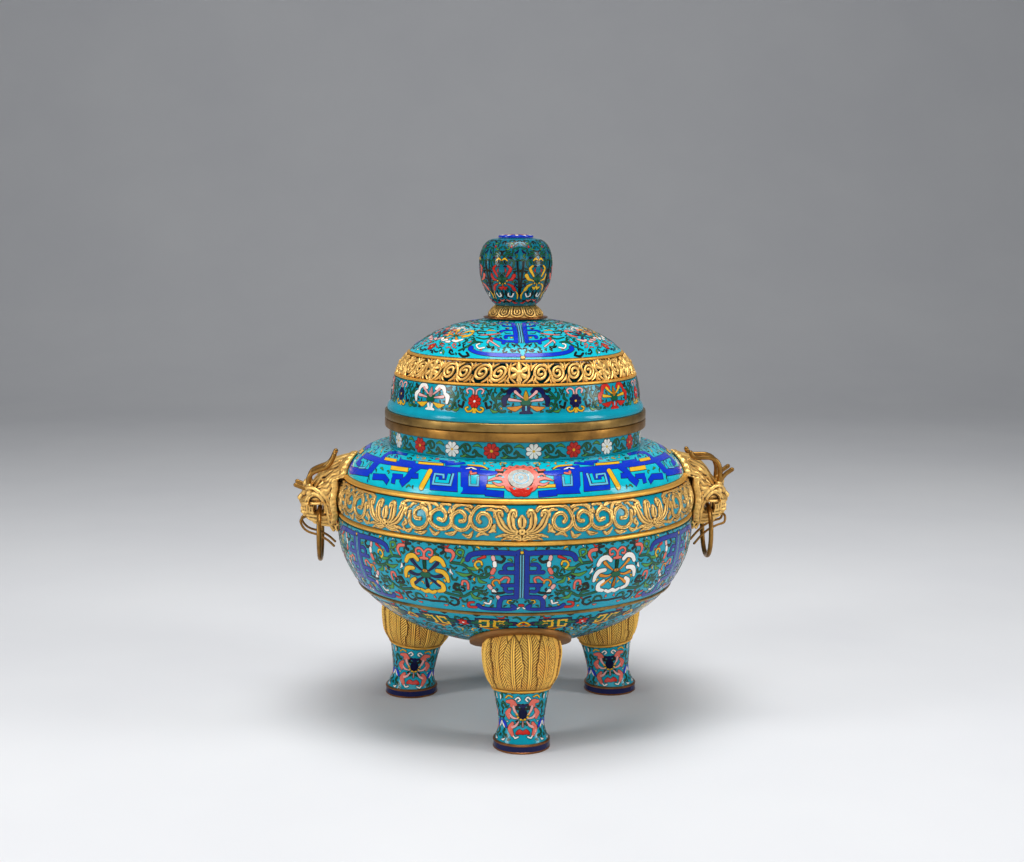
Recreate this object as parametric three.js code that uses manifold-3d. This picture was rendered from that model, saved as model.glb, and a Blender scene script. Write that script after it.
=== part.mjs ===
// A lidded cloisonne incense burner: an enamelled copper vessel on three legs, with a pierced
// gallery in its lid and two beast masks that hold loose rings.
// Millimetres, +Z up. The origin is on the floor under the vessel's axis. The front leg faces -Y
// and the two masks face -X and +X.
import * as THREE from 'three';
import { mergeVertices } from 'three/addons/utils/BufferGeometryUtils.js';
import Module from 'manifold-3d';

const wasm = await Module();
wasm.setup();

// Clearances
const seam = 0.3;              // between two pieces that are soldered, screwed or rested together
const lidClearance = 1.3;      // round the lid's spigot in the mouth
const hang = 0.3;              // between a loose ring and the jaw that it hangs on
const nutRelief = 1.3;         // under a flat nut on the curved inside of a wall

// Vessel: radii at the outside, heights of the sections from the bottom up
const bellyRadius = 165.2;
const mouthRadius = 119.8;
const neckRadius = 115.4;
const vesselWall = 3.4;
const legClearance = 72;       // floor to the underside of the bowl
const bowlDepth = 116;
const filletHeight = 5;
const beltHeight = 29.5;
const shoulderRise = 25.7;
const neckHeight = 16.1;
const rimHeight = 8.2;
const enamelStep = 1.6;        // how far the belt's relief stands out past the bowl
const filletProud = 0.6;       // how far a belt fillet stands out past the belt
const beltWidest = 15;         // from the bowl's top edge up to the belly's widest circle
const beltCurve = 0.014;       // drop of the belt's radius per squared millimetre from there
const mouldingDrop = 62;       // from the bowl's top edge down to the moulding
const mouldingProud = 1.3;
const mouldingHeight = 3.2;
const mouldingCrest = 0.5;     // how much further its upper edge stands out than its lower
const bowlUpright = 8;         // straight edge at the top of the bowl
const bowlPower = 0.44;        // fullness of the bowl's curve: 0.5 is an ellipse
const filletRound = 1.2;       // how far a belt fillet's corners fall back

// Lid
const lidRingHeight = 7.7;
const lidBandHeight = 30.8;
const galleryFillet = 3;
const galleryHeight = 16.5;
const domeRise = 77.5;         // from the dome's widest circle up to its crown
const domeWidestDrop = 26;     // from the gallery's lower fillet down to that circle
const domeInset = 5.5;         // from the mouth's radius in to the dome's
const lipHeight = 5;
const lidWall = 3;
const spigotDepth = 15.5;
const spigotWall = 3;
const windowCount = 24;
const windowRadius = 5.6;
const lipInset = 2.4;          // from the mouth's radius in to the lid's lip
const galleryFilletProud = 1;  // how far a gallery fillet stands out, and its foot falls back

// Knop
const washerRadius = 29.4;
const washerThick = 1.2;
const collarRadius = 25.4;
const collarHeight = 10;
const knopRadius = 32.4;
const knopHeight = 60.8;
const knopBase = 18.5;
const knopWall = 4;
const knopLobes = 6;
const grooveDepth = 2.2;
const knopTurn = -0.45;        // radians from the front to the middle of a lobe
const capRadius = 16;
const capThick = 3;
const studRadius = 4;
const nutRadius = 8.5;
const nutThick = 6;
const studEnd = 2;             // how far a stud reaches past its nut

// Legs
const legCircle = 112;         // radius of the circle that the feet stand on
const legLean = 6;             // degrees that a leg leans in towards the vessel's axis
const footRadius = 25.1;
const footThick = 8.6;
const shankTop = 50;
const shankRadius = 24.6;
const shankWaist = 20.2;
const legFilletHeight = 3.2;
const legFilletRadius = 26.6;
const bulbRadius = 34.9;
const bulbRise = 55;           // from the leg's fillet up to the bulb's top, before it meets the flange
const legWall = 4;
const flangeCircle = 92;       // radius, on the vessel, of the flanges' centres
const flangeRadius = 45;
const flangeThick = 4;
const legStudGrip = 11;        // length of a leg's stud inside the bulb
const bulbRoof = 6;            // metal round the end of that stud

// Handles
const maskStandoff = 2.2;      // gap between the vessel and the back of a mask
const ruffThick = 6;
const ruffHalfWidth = 33;
const ruffHalfHeight = 44;     // above its middle
const ruffDrop = 31;           // below its middle
const ruffRise = 9.2;          // from the ring's pivot up to the middle of the ruff
const ringRadius = 24.25;      // to the middle of the wire
const ringWire = 2.25;
const ringOut = 14.8;          // from the belly's radius out to the ring's pivot
const pivotDrop = 14;          // from the middle of the belt down to the ring's pivot
const jawHalfWidth = 10;
const jawCrown = 14;
const jawDepth = 15.5;
const snoutOut = 31;           // from the belly's radius out to the end of the jaw
const lipClearance = 0.75;     // between the upper lip and the ring
const throatOut = 5.5;         // from the belly's radius out to the throat
const hornRadius = 2.25;
const hornSpread = 9.5;
// The wires are bent by hand. Points are [out from the belly, past the spread, up].
const hornRoot = [[20.5, -0.5, -1], [23.5, 0, 6], [24.5, 0.5, 13]];
const leftWires = {
  horn: [...hornRoot, [21.5, 1, 18.5], [14.5, 1.5, 22], [8, 2, 24.5], [4, 2.7, 29], [0.5, 3.5, 36]],
  prong: [[23, 0, 4], [29, 0.3, 5], [37.5, 0.6, 8.5]],
  whisker: [
    [27, -1, -11], [32.5, 0, -12.5], [30, 1.5, -18], [25, 2, -22], [16, 2.5, -25], [8, 3, -29.5],
    [2, 3.2, -35],
  ],
};
const rightWires = {
  horn: [
    ...hornRoot, [24.5, 0.5, 20.5], [21.5, 1, 27.5], [15.5, 1.5, 31], [8.5, 2, 31.5],
    [2, 2.5, 31.5], [-2, 3, 33.5], [-3.6, 3.5, 36.3],
  ],
  prong: [[23, 0, 4], [25.6, 0.1, 10], [29.6, 0.3, 15.5], [37, 0.6, 20.5]],
  whisker: [
    [27, -1, -11], [32.5, 0, -12.5], [29.5, 2.6, -15.5], [23, 3.4, -18], [15, 3.4, -22],
    [8, 3.4, -28], [1.5, 3.4, -35.5],
  ],
};
const whiskerRadius = 1.1;
const whiskerSpread = 7;
const socketDepth = 4;
const maskStudGrip = 12;       // length of a mask's stud inside the mask

// Facets
const roundSides = 36;
const legSides = 18;
const smallSides = 10;

// Heights that follow
const bowlTop = legClearance + bowlDepth;
const beltBottom = bowlTop + filletHeight;
const beltTop = beltBottom + beltHeight;
const shoulderBottom = beltTop + filletHeight;
const neckBottom = shoulderBottom + shoulderRise;
const rimBottom = neckBottom + neckHeight;
const rimTop = rimBottom + rimHeight;
const lidBandBottom = rimTop + lidRingHeight;
const galleryFilletBottom = lidBandBottom + lidBandHeight;
const galleryBottom = galleryFilletBottom + galleryFillet;
const galleryTop = galleryBottom + galleryHeight;
const domeBottom = galleryTop + galleryFillet;
const domeWidest = galleryFilletBottom - domeWidestDrop;
const crown = domeWidest + domeRise;
const domeRadius = mouthRadius - domeInset;
const handleZ = (beltBottom + beltTop) / 2;
const pivotX = bellyRadius + ringOut;
const pivotZ = handleZ - pivotDrop;

// Materials
const finish = (color, roughness, metalness) => ({ color, roughness, metalness });
const turquoise = finish(0x1f9fb0, 0.22, 0.1);
const cobalt = finish(0x1c2f8f, 0.25, 0.1);
const gilt = finish(0xc8953a, 0.35, 1);
const bronze = finish(0x7a5a35, 0.45, 1);
const darkBronze = finish(0x3c2b22, 0.55, 0.9);

// Solids

// Drops degenerate triangles, merges shared vertices and turns the faces outward
function clean(geometry) {
  const bare = geometry.clone();
  bare.deleteAttribute('normal');
  bare.deleteAttribute('uv');
  const merged = mergeVertices(bare, 1e-4);
  const p = merged.attributes.position;
  const source = merged.index.array;
  const faces = [];
  let volume = 0;
  for (let i = 0; i < source.length; i += 3) {
    const [a, b, c] = [source[i], source[i + 1], source[i + 2]];
    if (a === b || b === c || c === a) continue;
    const corner = (k) => new THREE.Vector3().fromBufferAttribute(p, k);
    volume += corner(a).dot(corner(b).cross(corner(c)));
    faces.push(a, b, c);
  }
  if (volume < 0) faces.reverse();
  merged.setIndex(faces);
  return merged;
}

function toSolid(geometry) {
  const closed = clean(geometry);
  const vertProperties = new Float32Array(closed.attributes.position.array);
  const triVerts = new Uint32Array(closed.index.array);
  return new wasm.Manifold(new wasm.Mesh({ numProp: 3, vertProperties, triVerts }));
}

function toGeometry(solid) {
  const mesh = solid.getMesh();
  const geometry = new THREE.BufferGeometry();
  geometry.setAttribute('position', new THREE.BufferAttribute(new Float32Array(mesh.vertProperties), 3));
  geometry.setIndex(Array.from(mesh.triVerts));
  return geometry;
}

function join(...geometries) {
  return toGeometry(geometries.map(toSolid).reduce((a, b) => a.add(b)));
}

function cut(geometry, ...tools) {
  return toGeometry(tools.map(toSolid).reduce((a, b) => a.subtract(b), toSolid(geometry)));
}

function common(a, b) {
  return toGeometry(toSolid(a).intersect(toSolid(b)));
}

// Turns a closed outline of [radius, height] pairs round the vertical axis
function turn(outline, sides = roundSides) {
  const points = outline.map(([r, z]) => new THREE.Vector2(r, z));
  points.push(points[0].clone());
  return new THREE.LatheGeometry(points, sides).rotateX(Math.PI / 2);
}

// A round bar along Z between two heights
function bar(radius, low, high, sides = smallSides) {
  const geometry = new THREE.CylinderGeometry(radius, radius, high - low, sides);
  return geometry.rotateX(Math.PI / 2).translate(0, 0, (low + high) / 2);
}

// A ring of rectangular section
function hoop(inner, outer, low, high, sides = roundSides) {
  return turn([[inner, low], [outer, low], [outer, high], [inner, high]], sides);
}

// Moves an open outline sideways, to the right of its direction of travel
function offset(line, distance) {
  return line.map(([r, z], i) => {
    const [r0, z0] = line[Math.max(i - 1, 0)];
    const [r1, z1] = line[Math.min(i + 1, line.length - 1)];
    const length = Math.hypot(r1 - r0, z1 - z0);
    return [Math.max(r + distance * (z1 - z0) / length, 0), z - distance * (r1 - r0) / length];
  });
}

// Closes an outer line into a wall of even thickness, with level ends. The inner line keeps one
// point in every few.
function walled(line, wall, every = 2) {
  const kept = (_, i) => i % every === 0 || i === line.length - 1;
  const inner = offset(line, -wall).filter(kept);
  inner[inner.length - 1][1] = line[line.length - 1][1];
  if (line[0][0] > 0) inner[0][1] = line[0][1];
  else inner[0] = [0, line[0][1] + wall];
  return [...line, ...inner.reverse()];
}

function span(low, high, steps) {
  return Array.from({ length: steps + 1 }, (_, i) => low + (high - low) * i / steps);
}

// A tube along a smooth path through the points
function wire(points, radius, steps, sides = 8) {
  const path = new THREE.CatmullRomCurve3(points.map((p) => new THREE.Vector3(...p)), false, 'centripetal');
  const section = new THREE.Shape();
  section.absarc(0, 0, radius, 0, Math.PI * 2);
  const settings = { steps, bevelEnabled: false, extrudePath: path, curveSegments: sides / 2 };
  return new THREE.ExtrudeGeometry(section, settings);
}

// A body through rounded sections square to X: each is [x, halfWidth, bottom, top]
function loft(sections, sides = 14, power = 2.4) {
  const positions = [];
  for (const [x, half, bottom, top] of sections) {
    for (let i = 0; i < sides; i++) {
      const angle = Math.PI * 2 * i / sides;
      const bend = (v) => Math.sign(v) * Math.abs(v) ** (2 / power);
      const z = (top + bottom) / 2 + (top - bottom) / 2 * bend(Math.sin(angle));
      positions.push(x, half * bend(Math.cos(angle)), z);
    }
  }
  const faces = [];
  for (let s = 0; s < sections.length - 1; s++) {
    for (let i = 0; i < sides; i++) {
      const a = s * sides + i;
      const b = s * sides + (i + 1) % sides;
      faces.push(a, b, b + sides, a, b + sides, a + sides);
    }
  }
  const last = (sections.length - 1) * sides;
  for (let i = 1; i < sides - 1; i++) {
    faces.push(0, i + 1, i, last, last + i, last + i + 1);
  }
  const geometry = new THREE.BufferGeometry();
  geometry.setAttribute('position', new THREE.Float32BufferAttribute(positions, 3));
  geometry.setIndex(faces);
  return geometry;
}

// Outlines of the vessel and lid

const bowlRadiusTop = bellyRadius - enamelStep;
const bowlWidest = bowlTop - bowlUpright;

function bowlRadius(z) {
  if (z >= bowlWidest) return bowlRadiusTop;
  const t = (bowlWidest - z) / (bowlWidest - legClearance);
  return bowlRadiusTop * Math.max(1 - t * t, 0) ** bowlPower;
}

function bowlHeight(radius) {
  const t = Math.sqrt(1 - (radius / bowlRadiusTop) ** (1 / bowlPower));
  return bowlWidest - t * (bowlWidest - legClearance);
}

function beltRadius(z) {
  return bellyRadius - beltCurve * (z - bowlTop - beltWidest) ** 2;
}

function shoulderRadius(z) {
  const t = Math.min(Math.max((z - shoulderBottom) / shoulderRise, 0), 1);
  const inner = neckRadius + vesselWall;
  return inner + (beltRadius(shoulderBottom) - enamelStep - inner) * (1 - t ** 1.6) ** 0.55;
}

function domeOutline(z) {
  const t = Math.min(Math.max((z - domeWidest) / domeRise, 0), 1);
  return domeRadius * (1 - t ** 2.4) ** (1 / 2.4);
}

function bowlLine() {
  const radii = [0, 0.35, 0.58, 0.76, 0.88, 0.96].map((share) => share * bowlRadiusTop);
  const line = radii.map((r) => [r, bowlHeight(r)]);
  return [...line, [bowlRadiusTop, bowlWidest], [bowlRadiusTop, bowlTop]];
}

// Radius of an outline at a height, along its straight stretches
function radiusOn(line, z) {
  const i = Math.max(line.findIndex((point) => point[1] >= z), 1);
  const [[r0, z0], [r1, z1]] = [line[i - 1], line[i]];
  return r0 + (r1 - r0) * (z - z0) / (z1 - z0);
}

function shoulderLine() {
  return [0, 0.4, 0.7, 0.9, 1].map((t) => {
    const z = shoulderBottom + seam + t * (shoulderRise - seam);
    return [shoulderRadius(z), z];
  });
}

// The outside of the whole vessel from under the bowl to the neck, for what is fitted to it
function vesselLine() {
  const belt = span(beltBottom, beltTop, 3).map((z) => [beltRadius(z) + filletProud, z]);
  return [...bowlLine().slice(0, -1), ...belt, ...shoulderLine()];
}

// Solid of revolution inside the vessel's outside, grown by a distance
function vesselEnvelope(distance) {
  const line = offset(vesselLine(), distance);
  line[0] = [0, line[0][1]];
  return turn([...line, [0, line[line.length - 1][1]]]);
}

// Vessel pieces

function makeBowl() {
  const wall = turn(walled(bowlLine(), vesselWall, 1));
  return cut(wall, ...legAzimuths.map((turnBy) => legStudHole().rotateZ(turnBy)));
}

function makeMoulding() {
  const z = bowlTop - mouldingDrop;
  const low = z - mouldingHeight / 2;
  const high = z + mouldingHeight / 2;
  const bowl = bowlLine();
  const crest = radiusOn(bowl, z) + mouldingProud;
  const corners = bowl.filter((point) => point[1] > low && point[1] < high).reverse();
  const inner = [[radiusOn(bowl, high), high], ...corners, [radiusOn(bowl, low), low]];
  return turn([
    ...inner.map((point) => [point[0] + seam, point[1]]),
    [crest, z - mouldingHeight / 4], [crest + mouldingCrest, z + mouldingHeight / 5],
  ]);
}

function makeBeltFillet(low) {
  const high = low + filletHeight;
  const middle = (low + high) / 2;
  const crest = beltRadius(middle) + filletProud;
  const inner = beltRadius(middle) - enamelStep - vesselWall;
  const outline = [
    [inner, low + seam], [crest - filletRound, low + seam], [crest, middle - filletHeight / 5],
    [crest, middle + filletHeight / 5], [crest - filletRound, high - seam], [inner, high - seam],
  ];
  return turn(outline);
}

function makeBelt() {
  const outer = span(beltBottom, beltTop, 3).map((z) => [beltRadius(z), z]);
  const inner = [beltTop, handleZ, beltBottom].map((z) => [beltRadius(z) - enamelStep - vesselWall, z]);
  return cut(turn([...outer, ...inner]), maskStudHole(1), maskStudHole(-1));
}

// The shoulder turns in under the neck as a flat ledge
function makeShoulder() {
  const outer = shoulderLine();
  const inner = offset(outer, -vesselWall).filter((_, i) => i % 2 === 0).slice(0, -1);
  inner[0][1] = outer[0][1];
  const bore = neckRadius - vesselWall;
  return turn([...outer, [bore, neckBottom], [bore, neckBottom - vesselWall], ...inner.reverse()]);
}

function makeNeck() {
  return hoop(neckRadius - vesselWall, neckRadius, neckBottom + seam, rimBottom - seam);
}

function makeMouthRing() {
  return hoop(neckRadius - vesselWall, mouthRadius, rimBottom, rimTop);
}

// Lid pieces

const spigotRadius = neckRadius - vesselWall - lidClearance;

function makeLidRing() {
  return hoop(spigotRadius + seam, mouthRadius, rimTop + seam, lidBandBottom);
}

function makeSpigot() {
  return hoop(spigotRadius - spigotWall, spigotRadius, rimTop - spigotDepth, lidBandBottom);
}

function makeLidBand() {
  const low = lidBandBottom + seam;
  const lip = mouthRadius - lipInset;
  const wall = [[lip, low], [lip, low + lipHeight - 1], [domeRadius + 0.8, low + lipHeight + 1.6]];
  const rise = span(low + lipHeight + 6, galleryFilletBottom - seam, 2).map((z) => [domeOutline(z), z]);
  return turn(walled([...wall, ...rise], lidWall));
}

function makeGalleryFillet(low) {
  const high = low + galleryFillet;
  const middle = (low + high) / 2;
  const crest = domeOutline(middle) + galleryFilletProud;
  const inner = domeOutline(middle) - lidWall - galleryFilletProud;
  const foot = domeOutline(middle) - galleryFilletProud;
  const outline = [
    [inner, low + seam], [foot, low + seam], [crest, middle - 0.4],
    [crest, middle + 0.4], [foot, high - seam], [inner, high - seam],
  ];
  return turn(outline);
}

// The pierced wall: one row of five-sided openings all round
function makeGallery() {
  const line = span(galleryBottom, galleryTop, 2).map((z) => [domeOutline(z), z]);
  const wall = turn(walled(line, lidWall));
  const middle = (galleryBottom + galleryTop) / 2;
  const windows = [];
  for (let i = 0; i < windowCount; i++) {
    const opening = new THREE.CylinderGeometry(windowRadius, windowRadius, 4 * lidWall, 5);
    opening.scale(0.95, 1, 1).translate(0, -domeOutline(middle), middle);
    windows.push(opening.rotateZ(2 * Math.PI * (i + 0.5) / windowCount));
  }
  return cut(wall, ...windows);
}

function makeDome() {
  const top = crown - domeBottom - seam;
  const steps = [0, 0.35, 0.65, 0.85, 0.96];
  const line = steps.map((t) => [domeOutline(domeBottom + seam + t * top), domeBottom + seam + t * top]);
  const outline = walled([...line, [0, crown]].reverse().map(([r, z]) => [r, -z]), lidWall);
  const shell = turn(outline.map(([r, z]) => [r, -z]));
  return cut(shell, bar(studRadius + seam, crown - 4 * lidWall, crown + lidWall));
}

// Knop pieces

const washerBottom = crown + seam;
const collarBottom = washerBottom + washerThick + seam;
const knopBottom = collarBottom + collarHeight + seam;
const capBottom = knopBottom + knopHeight + seam;
const nutTop = crown - lidWall - nutRelief;

function makeWasher() {
  return hoop(studRadius + seam, washerRadius, washerBottom, washerBottom + washerThick, legSides);
}

function makeCollar() {
  const h = collarHeight;
  return turn([
    [studRadius + seam, collarBottom], [collarRadius, collarBottom],
    [collarRadius - 0.6, collarBottom + 0.35 * h], [collarRadius - 3.2, collarBottom + 0.7 * h],
    [knopBase, collarBottom + h], [studRadius + seam, collarBottom + h],
  ], legSides);
}

function knopLine() {
  const flare = [[0, 0], [0.2, 0.05], [0.5, 0.18], [0.82, 0.33], [1, 0.57]];
  const close = [[0.96, 0.74], [0.76, 0.88], [0.4, 0.97], [0, 1]];
  const side = flare.map(([w, h]) => [knopBase + (knopRadius - knopBase) * w, h]);
  const top = close.map(([w, h]) => [capRadius + (knopRadius - capRadius) * w, h]);
  return [...side, ...top].map(([r, h]) => [r, knopBottom + knopHeight * h]);
}

// Presses the grooves between the lobes into a turned solid
function lobed(geometry) {
  const p = geometry.attributes.position;
  for (let i = 0; i < p.count; i++) {
    const r = Math.hypot(p.getX(i), p.getY(i));
    if (r < knopBase + 1) continue;
    const angle = Math.atan2(p.getX(i), -p.getY(i)) - knopTurn;
    const near = Math.abs(Math.cos(angle * knopLobes / 2));
    const height = (p.getZ(i) - knopBottom) / knopHeight;
    const depth = grooveDepth * (1 - near) ** 1.5 * Math.max(Math.sin(Math.PI * Math.min(height, 1)), 0);
    p.setXY(i, p.getX(i) * (r - depth) / r, p.getY(i) * (r - depth) / r);
  }
  return geometry;
}

function makeKnop() {
  const outer = knopLine();
  const inner = offset(outer, -knopWall).filter((_, i) => i % 3 === 2);
  inner.unshift([knopBase - knopWall, knopBottom + knopWall]);
  inner.push([capRadius - knopWall, knopBottom + knopHeight]);
  const hole = studRadius + seam;
  return lobed(turn([[hole, knopBottom], ...outer, ...inner.reverse(), [hole, knopBottom + knopWall]]));
}

function makeKnopCap() {
  const lip = capRadius - knopWall - seam;
  return turn([
    [0, capBottom - knopWall], [lip, capBottom - knopWall], [lip, capBottom], [capRadius, capBottom],
    [capRadius - 1, capBottom + 0.6 * capThick], [capRadius / 2, capBottom + capThick],
    [0, capBottom + capThick * 1.1],
  ], legSides);
}

function makeKnopStud() {
  const head = knopBottom + knopWall + seam;
  return turn([
    [0, nutTop - nutThick - studEnd], [studRadius, nutTop - nutThick - studEnd], [studRadius, head],
    [nutRadius, head], [nutRadius, head + studRadius], [0, head + studRadius],
  ], smallSides);
}

function makeNut() {
  const hex = bar(nutRadius, -nutThick, 0, 6);
  return cut(hex, bar(studRadius + seam, -2 * nutThick, nutThick));
}

// Legs, built at the front and turned into place

const legAzimuths = [0, -2 * Math.PI / 3, 2 * Math.PI / 3];

// Slope of the bowl's underside where a leg is bolted on
function boltFrame() {
  const reach = 1;
  const rise = bowlHeight(flangeCircle + reach) - bowlHeight(flangeCircle - reach);
  return { z: bowlHeight(flangeCircle), tilt: Math.atan2(rise, 2 * reach) };
}

// Moves a shape built along Z so that Z leaves the bowl square to its underside, downwards
function onBolt(geometry) {
  const { z, tilt } = boltFrame();
  return geometry.rotateX(-tilt).translate(0, -flangeCircle, z);
}

// Moves a shape built along Z onto a leg's leaning axis
function onLeg(geometry) {
  return geometry.rotateX(-THREE.MathUtils.degToRad(legLean)).translate(0, -legCircle, 0);
}

function legStudHole() {
  return onBolt(bar(studRadius + seam, -flangeThick - legStudGrip - 1, vesselWall * 4));
}

function makeFlange() {
  const shell = cut(vesselEnvelope(seam + flangeThick), vesselEnvelope(seam));
  const disc = onBolt(bar(flangeRadius, -24, 18, legSides));
  return cut(common(shell, disc), legStudHole());
}

function makeBulb() {
  const low = shankTop + legFilletHeight;
  const share = [[0.755, 0], [0.91, 0.18], [1, 0.5], [0.97, 0.68], [0.86, 0.84], [0.6, 1]];
  const line = share.map(([w, h]) => [bulbRadius * w, low + bulbRise * h]);
  const outer = turn([[0, low], ...line, [0, low + bulbRise]], legSides);
  const cavityTop = bowlHeight(flangeCircle) - legStudGrip - flangeThick - bulbRoof;
  const cavity = turn([
    [0, low - 1], [legFilletRadius - legWall - 1.5, low - 1], [bulbRadius - legWall, low + 0.36 * bulbRise],
    [bulbRadius - legWall - bulbRoof, cavityTop], [0, cavityTop],
  ], legSides);
  return cut(onLeg(cut(outer, cavity)), vesselEnvelope(2 * seam + flangeThick), legStudHole());
}

function makeLegFillet() {
  const low = shankTop + seam;
  const high = shankTop + legFilletHeight - seam;
  const inner = shankRadius - legWall;
  return onLeg(turn([
    [inner, low], [shankRadius, low], [legFilletRadius, (low + high) / 2],
    [legFilletRadius - 0.8, high], [inner, high],
  ], legSides));
}

function makeShank() {
  const line = [
    [shankWaist + 4.2, 0], [shankWaist + 2.8, 0.18 * shankTop], [shankWaist, 0.36 * shankTop],
    [shankWaist, 0.5 * shankTop], [(shankWaist + shankRadius) / 2, 0.8 * shankTop],
    [shankRadius, shankTop],
  ];
  const tube = onLeg(turn(walled(line, legWall), legSides));
  const floor = bar(3 * footRadius, -footThick * 2, footThick + seam, 8).translate(0, -legCircle, 0);
  return cut(tube, floor);
}

function makeFoot() {
  const round = 1;
  return turn([
    [0, 0], [footRadius - round, 0], [footRadius, round], [footRadius, footThick - round],
    [footRadius - round, footThick], [0, footThick],
  ], legSides).translate(0, -legCircle, 0);
}

function makeLegStud() {
  return onBolt(bar(studRadius, -flangeThick - legStudGrip, vesselWall + nutThick + studEnd));
}

function makeLegNut() {
  return onBolt(makeNut().translate(0, 0, nutThick + vesselWall + nutRelief));
}

// Handles, built facing +X

function maskStudHole(side) {
  const hole = bar(studRadius + seam, bellyRadius - 30, bellyRadius + maskStudGrip + 1);
  return hole.rotateY(Math.PI / 2).translate(0, 0, handleZ).scale(side, 1, 1);
}

// The mane stands on the vessel as a shield that follows its curve
function makeRuff() {
  const shell = cut(vesselEnvelope(maskStandoff + ruffThick), vesselEnvelope(maskStandoff));
  const shield = new THREE.CylinderGeometry(1, 1, 2 * bellyRadius, legSides).rotateZ(Math.PI / 2);
  const p = shield.attributes.position;
  for (let i = 0; i < p.count; i++) {
    p.setZ(i, p.getZ(i) * (p.getZ(i) > 0 ? ruffHalfHeight : ruffDrop));
  }
  shield.scale(1, ruffHalfWidth, 1).translate(1.4 * bellyRadius, 0, pivotZ + ruffRise);
  return common(shell, shield);
}

function makeSkull() {
  const lip = pivotZ + ringWire + lipClearance;
  const out = (d) => bellyRadius + d;
  return loft([
    [out(-24), 24, lip, handleZ + 34], [out(-9), 27, lip, handleZ + 29], [out(-1), 26.5, lip, handleZ + 25],
    [out(5), 25, lip, handleZ + 20], [out(11), 22.5, lip, handleZ + 12.5],
    [out(18), 19, lip, handleZ + 4], [out(24), 15.5, lip, handleZ + 1.5],
    [out(30), 11.5, lip, handleZ - 3], [out(33), 8, lip + 1, handleZ - 6],
  ]);
}

// The crest of hair between the horns
function makeCrest() {
  const out = (d) => bellyRadius + d;
  return loft([
    [out(-20), 7, handleZ, handleZ + 34], [out(-6), 7.2, handleZ, handleZ + 32.5],
    [out(3), 7.4, handleZ, handleZ + 29], [out(10.5), 7.4, handleZ, handleZ + 21],
    [out(16.5), 7.2, handleZ, handleZ + 12], [out(20), 6.5, handleZ, handleZ + 5],
  ]);
}

function makeThroat() {
  const out = (d) => bellyRadius + d;
  return loft([
    [out(-24), 22, pivotZ - 20, pivotZ + 6], [out(1), 21, pivotZ - 19, pivotZ + 6],
    [out(throatOut), 17, pivotZ - 17, pivotZ + 6],
  ]);
}

// The jaw that the ring hangs on: a bar with a crowned top, narrower than the ring's bore
function makeJaw() {
  const top = pivotZ - ringWire - hang;
  const spread = Math.asin(jawHalfWidth / jawCrown);
  const section = new THREE.Shape();
  section.absarc(0, top - jawCrown, jawCrown, Math.PI / 2 - spread, Math.PI / 2 + spread);
  section.lineTo(-0.7 * jawHalfWidth, top - jawDepth);
  section.lineTo(0.7 * jawHalfWidth, top - jawDepth);
  const length = snoutOut - 1;
  const settings = { depth: length, bevelEnabled: false, curveSegments: 6 };
  const prism = new THREE.ExtrudeGeometry(section, settings);
  prism.rotateX(Math.PI / 2).rotateZ(Math.PI / 2);
  return prism.translate(bellyRadius + snoutOut - length, 0, 0);
}

// A wire's points on one side of the head
function bent(points, side, spread, height) {
  return points.map(([out, more, up]) => [bellyRadius + out, side * (spread + more), height + up]);
}

function makeHorn(side, wires) {
  const horn = wire(bent(wires.horn, side, hornSpread, handleZ), hornRadius, 16, 6);
  return join(horn, wire(bent(wires.prong, side, hornSpread, handleZ), hornRadius, 3, 6));
}

function makeWhisker(side, wires) {
  return wire(bent(wires.whisker, side, whiskerSpread, pivotZ), whiskerRadius, 13, 6);
}

// A hole for the first stretch of a wire
function socket(path, radius, deeper) {
  const [x, y, z] = path[0];
  return wire([[x - 1, y, z - deeper], ...path.slice(0, 3)], radius + 2 * seam, 6);
}

function hornSocket(side, wires) {
  return socket(bent(wires.horn, side, hornSpread, handleZ), hornRadius, socketDepth / 4);
}

function whiskerSocket(side, wires) {
  return socket(bent(wires.whisker, side, whiskerSpread, pivotZ), whiskerRadius, 0);
}

function makeMask(wires) {
  const body = join(makeRuff(), makeSkull(), makeCrest(), makeThroat(), makeJaw());
  const fitted = cut(body, vesselEnvelope(maskStandoff), maskStudHole(1));
  const sockets = [1, -1].flatMap((side) => [hornSocket(side, wires), whiskerSocket(side, wires)]);
  return cut(fitted, ...sockets);
}

function makeRing() {
  const ring = new THREE.TorusGeometry(ringRadius, ringWire, 8, 28).rotateY(Math.PI / 2);
  return ring.translate(pivotX, 0, pivotZ - ringRadius);
}

function makeMaskStud() {
  const inside = bellyRadius - enamelStep - vesselWall - nutThick - nutRelief - studEnd;
  return bar(studRadius, inside, bellyRadius + maskStudGrip).rotateY(Math.PI / 2).translate(0, 0, handleZ);
}

function makeMaskNut() {
  const seat = beltRadius(handleZ + nutRadius) - enamelStep - vesselWall - nutRelief;
  return makeNut().rotateY(Math.PI / 2).translate(seat, 0, handleZ);
}

// Assembly

const burner = new THREE.Group();

function add(name, geometry, look, group = burner) {
  const mesh = new THREE.Mesh(clean(geometry), new THREE.MeshStandardMaterial(look));
  mesh.name = name;
  group.add(mesh);
}

function addVessel() {
  add('bowl', makeBowl(), turquoise);
  add('bowl_moulding', makeMoulding(), darkBronze);
  add('belt_lower_fillet', makeBeltFillet(bowlTop), gilt);
  add('belt_band', makeBelt(), gilt);
  add('belt_upper_fillet', makeBeltFillet(beltTop), gilt);
  add('shoulder', makeShoulder(), cobalt);
  add('neck', makeNeck(), turquoise);
  add('mouth_ring', makeMouthRing(), bronze);
}

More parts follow.
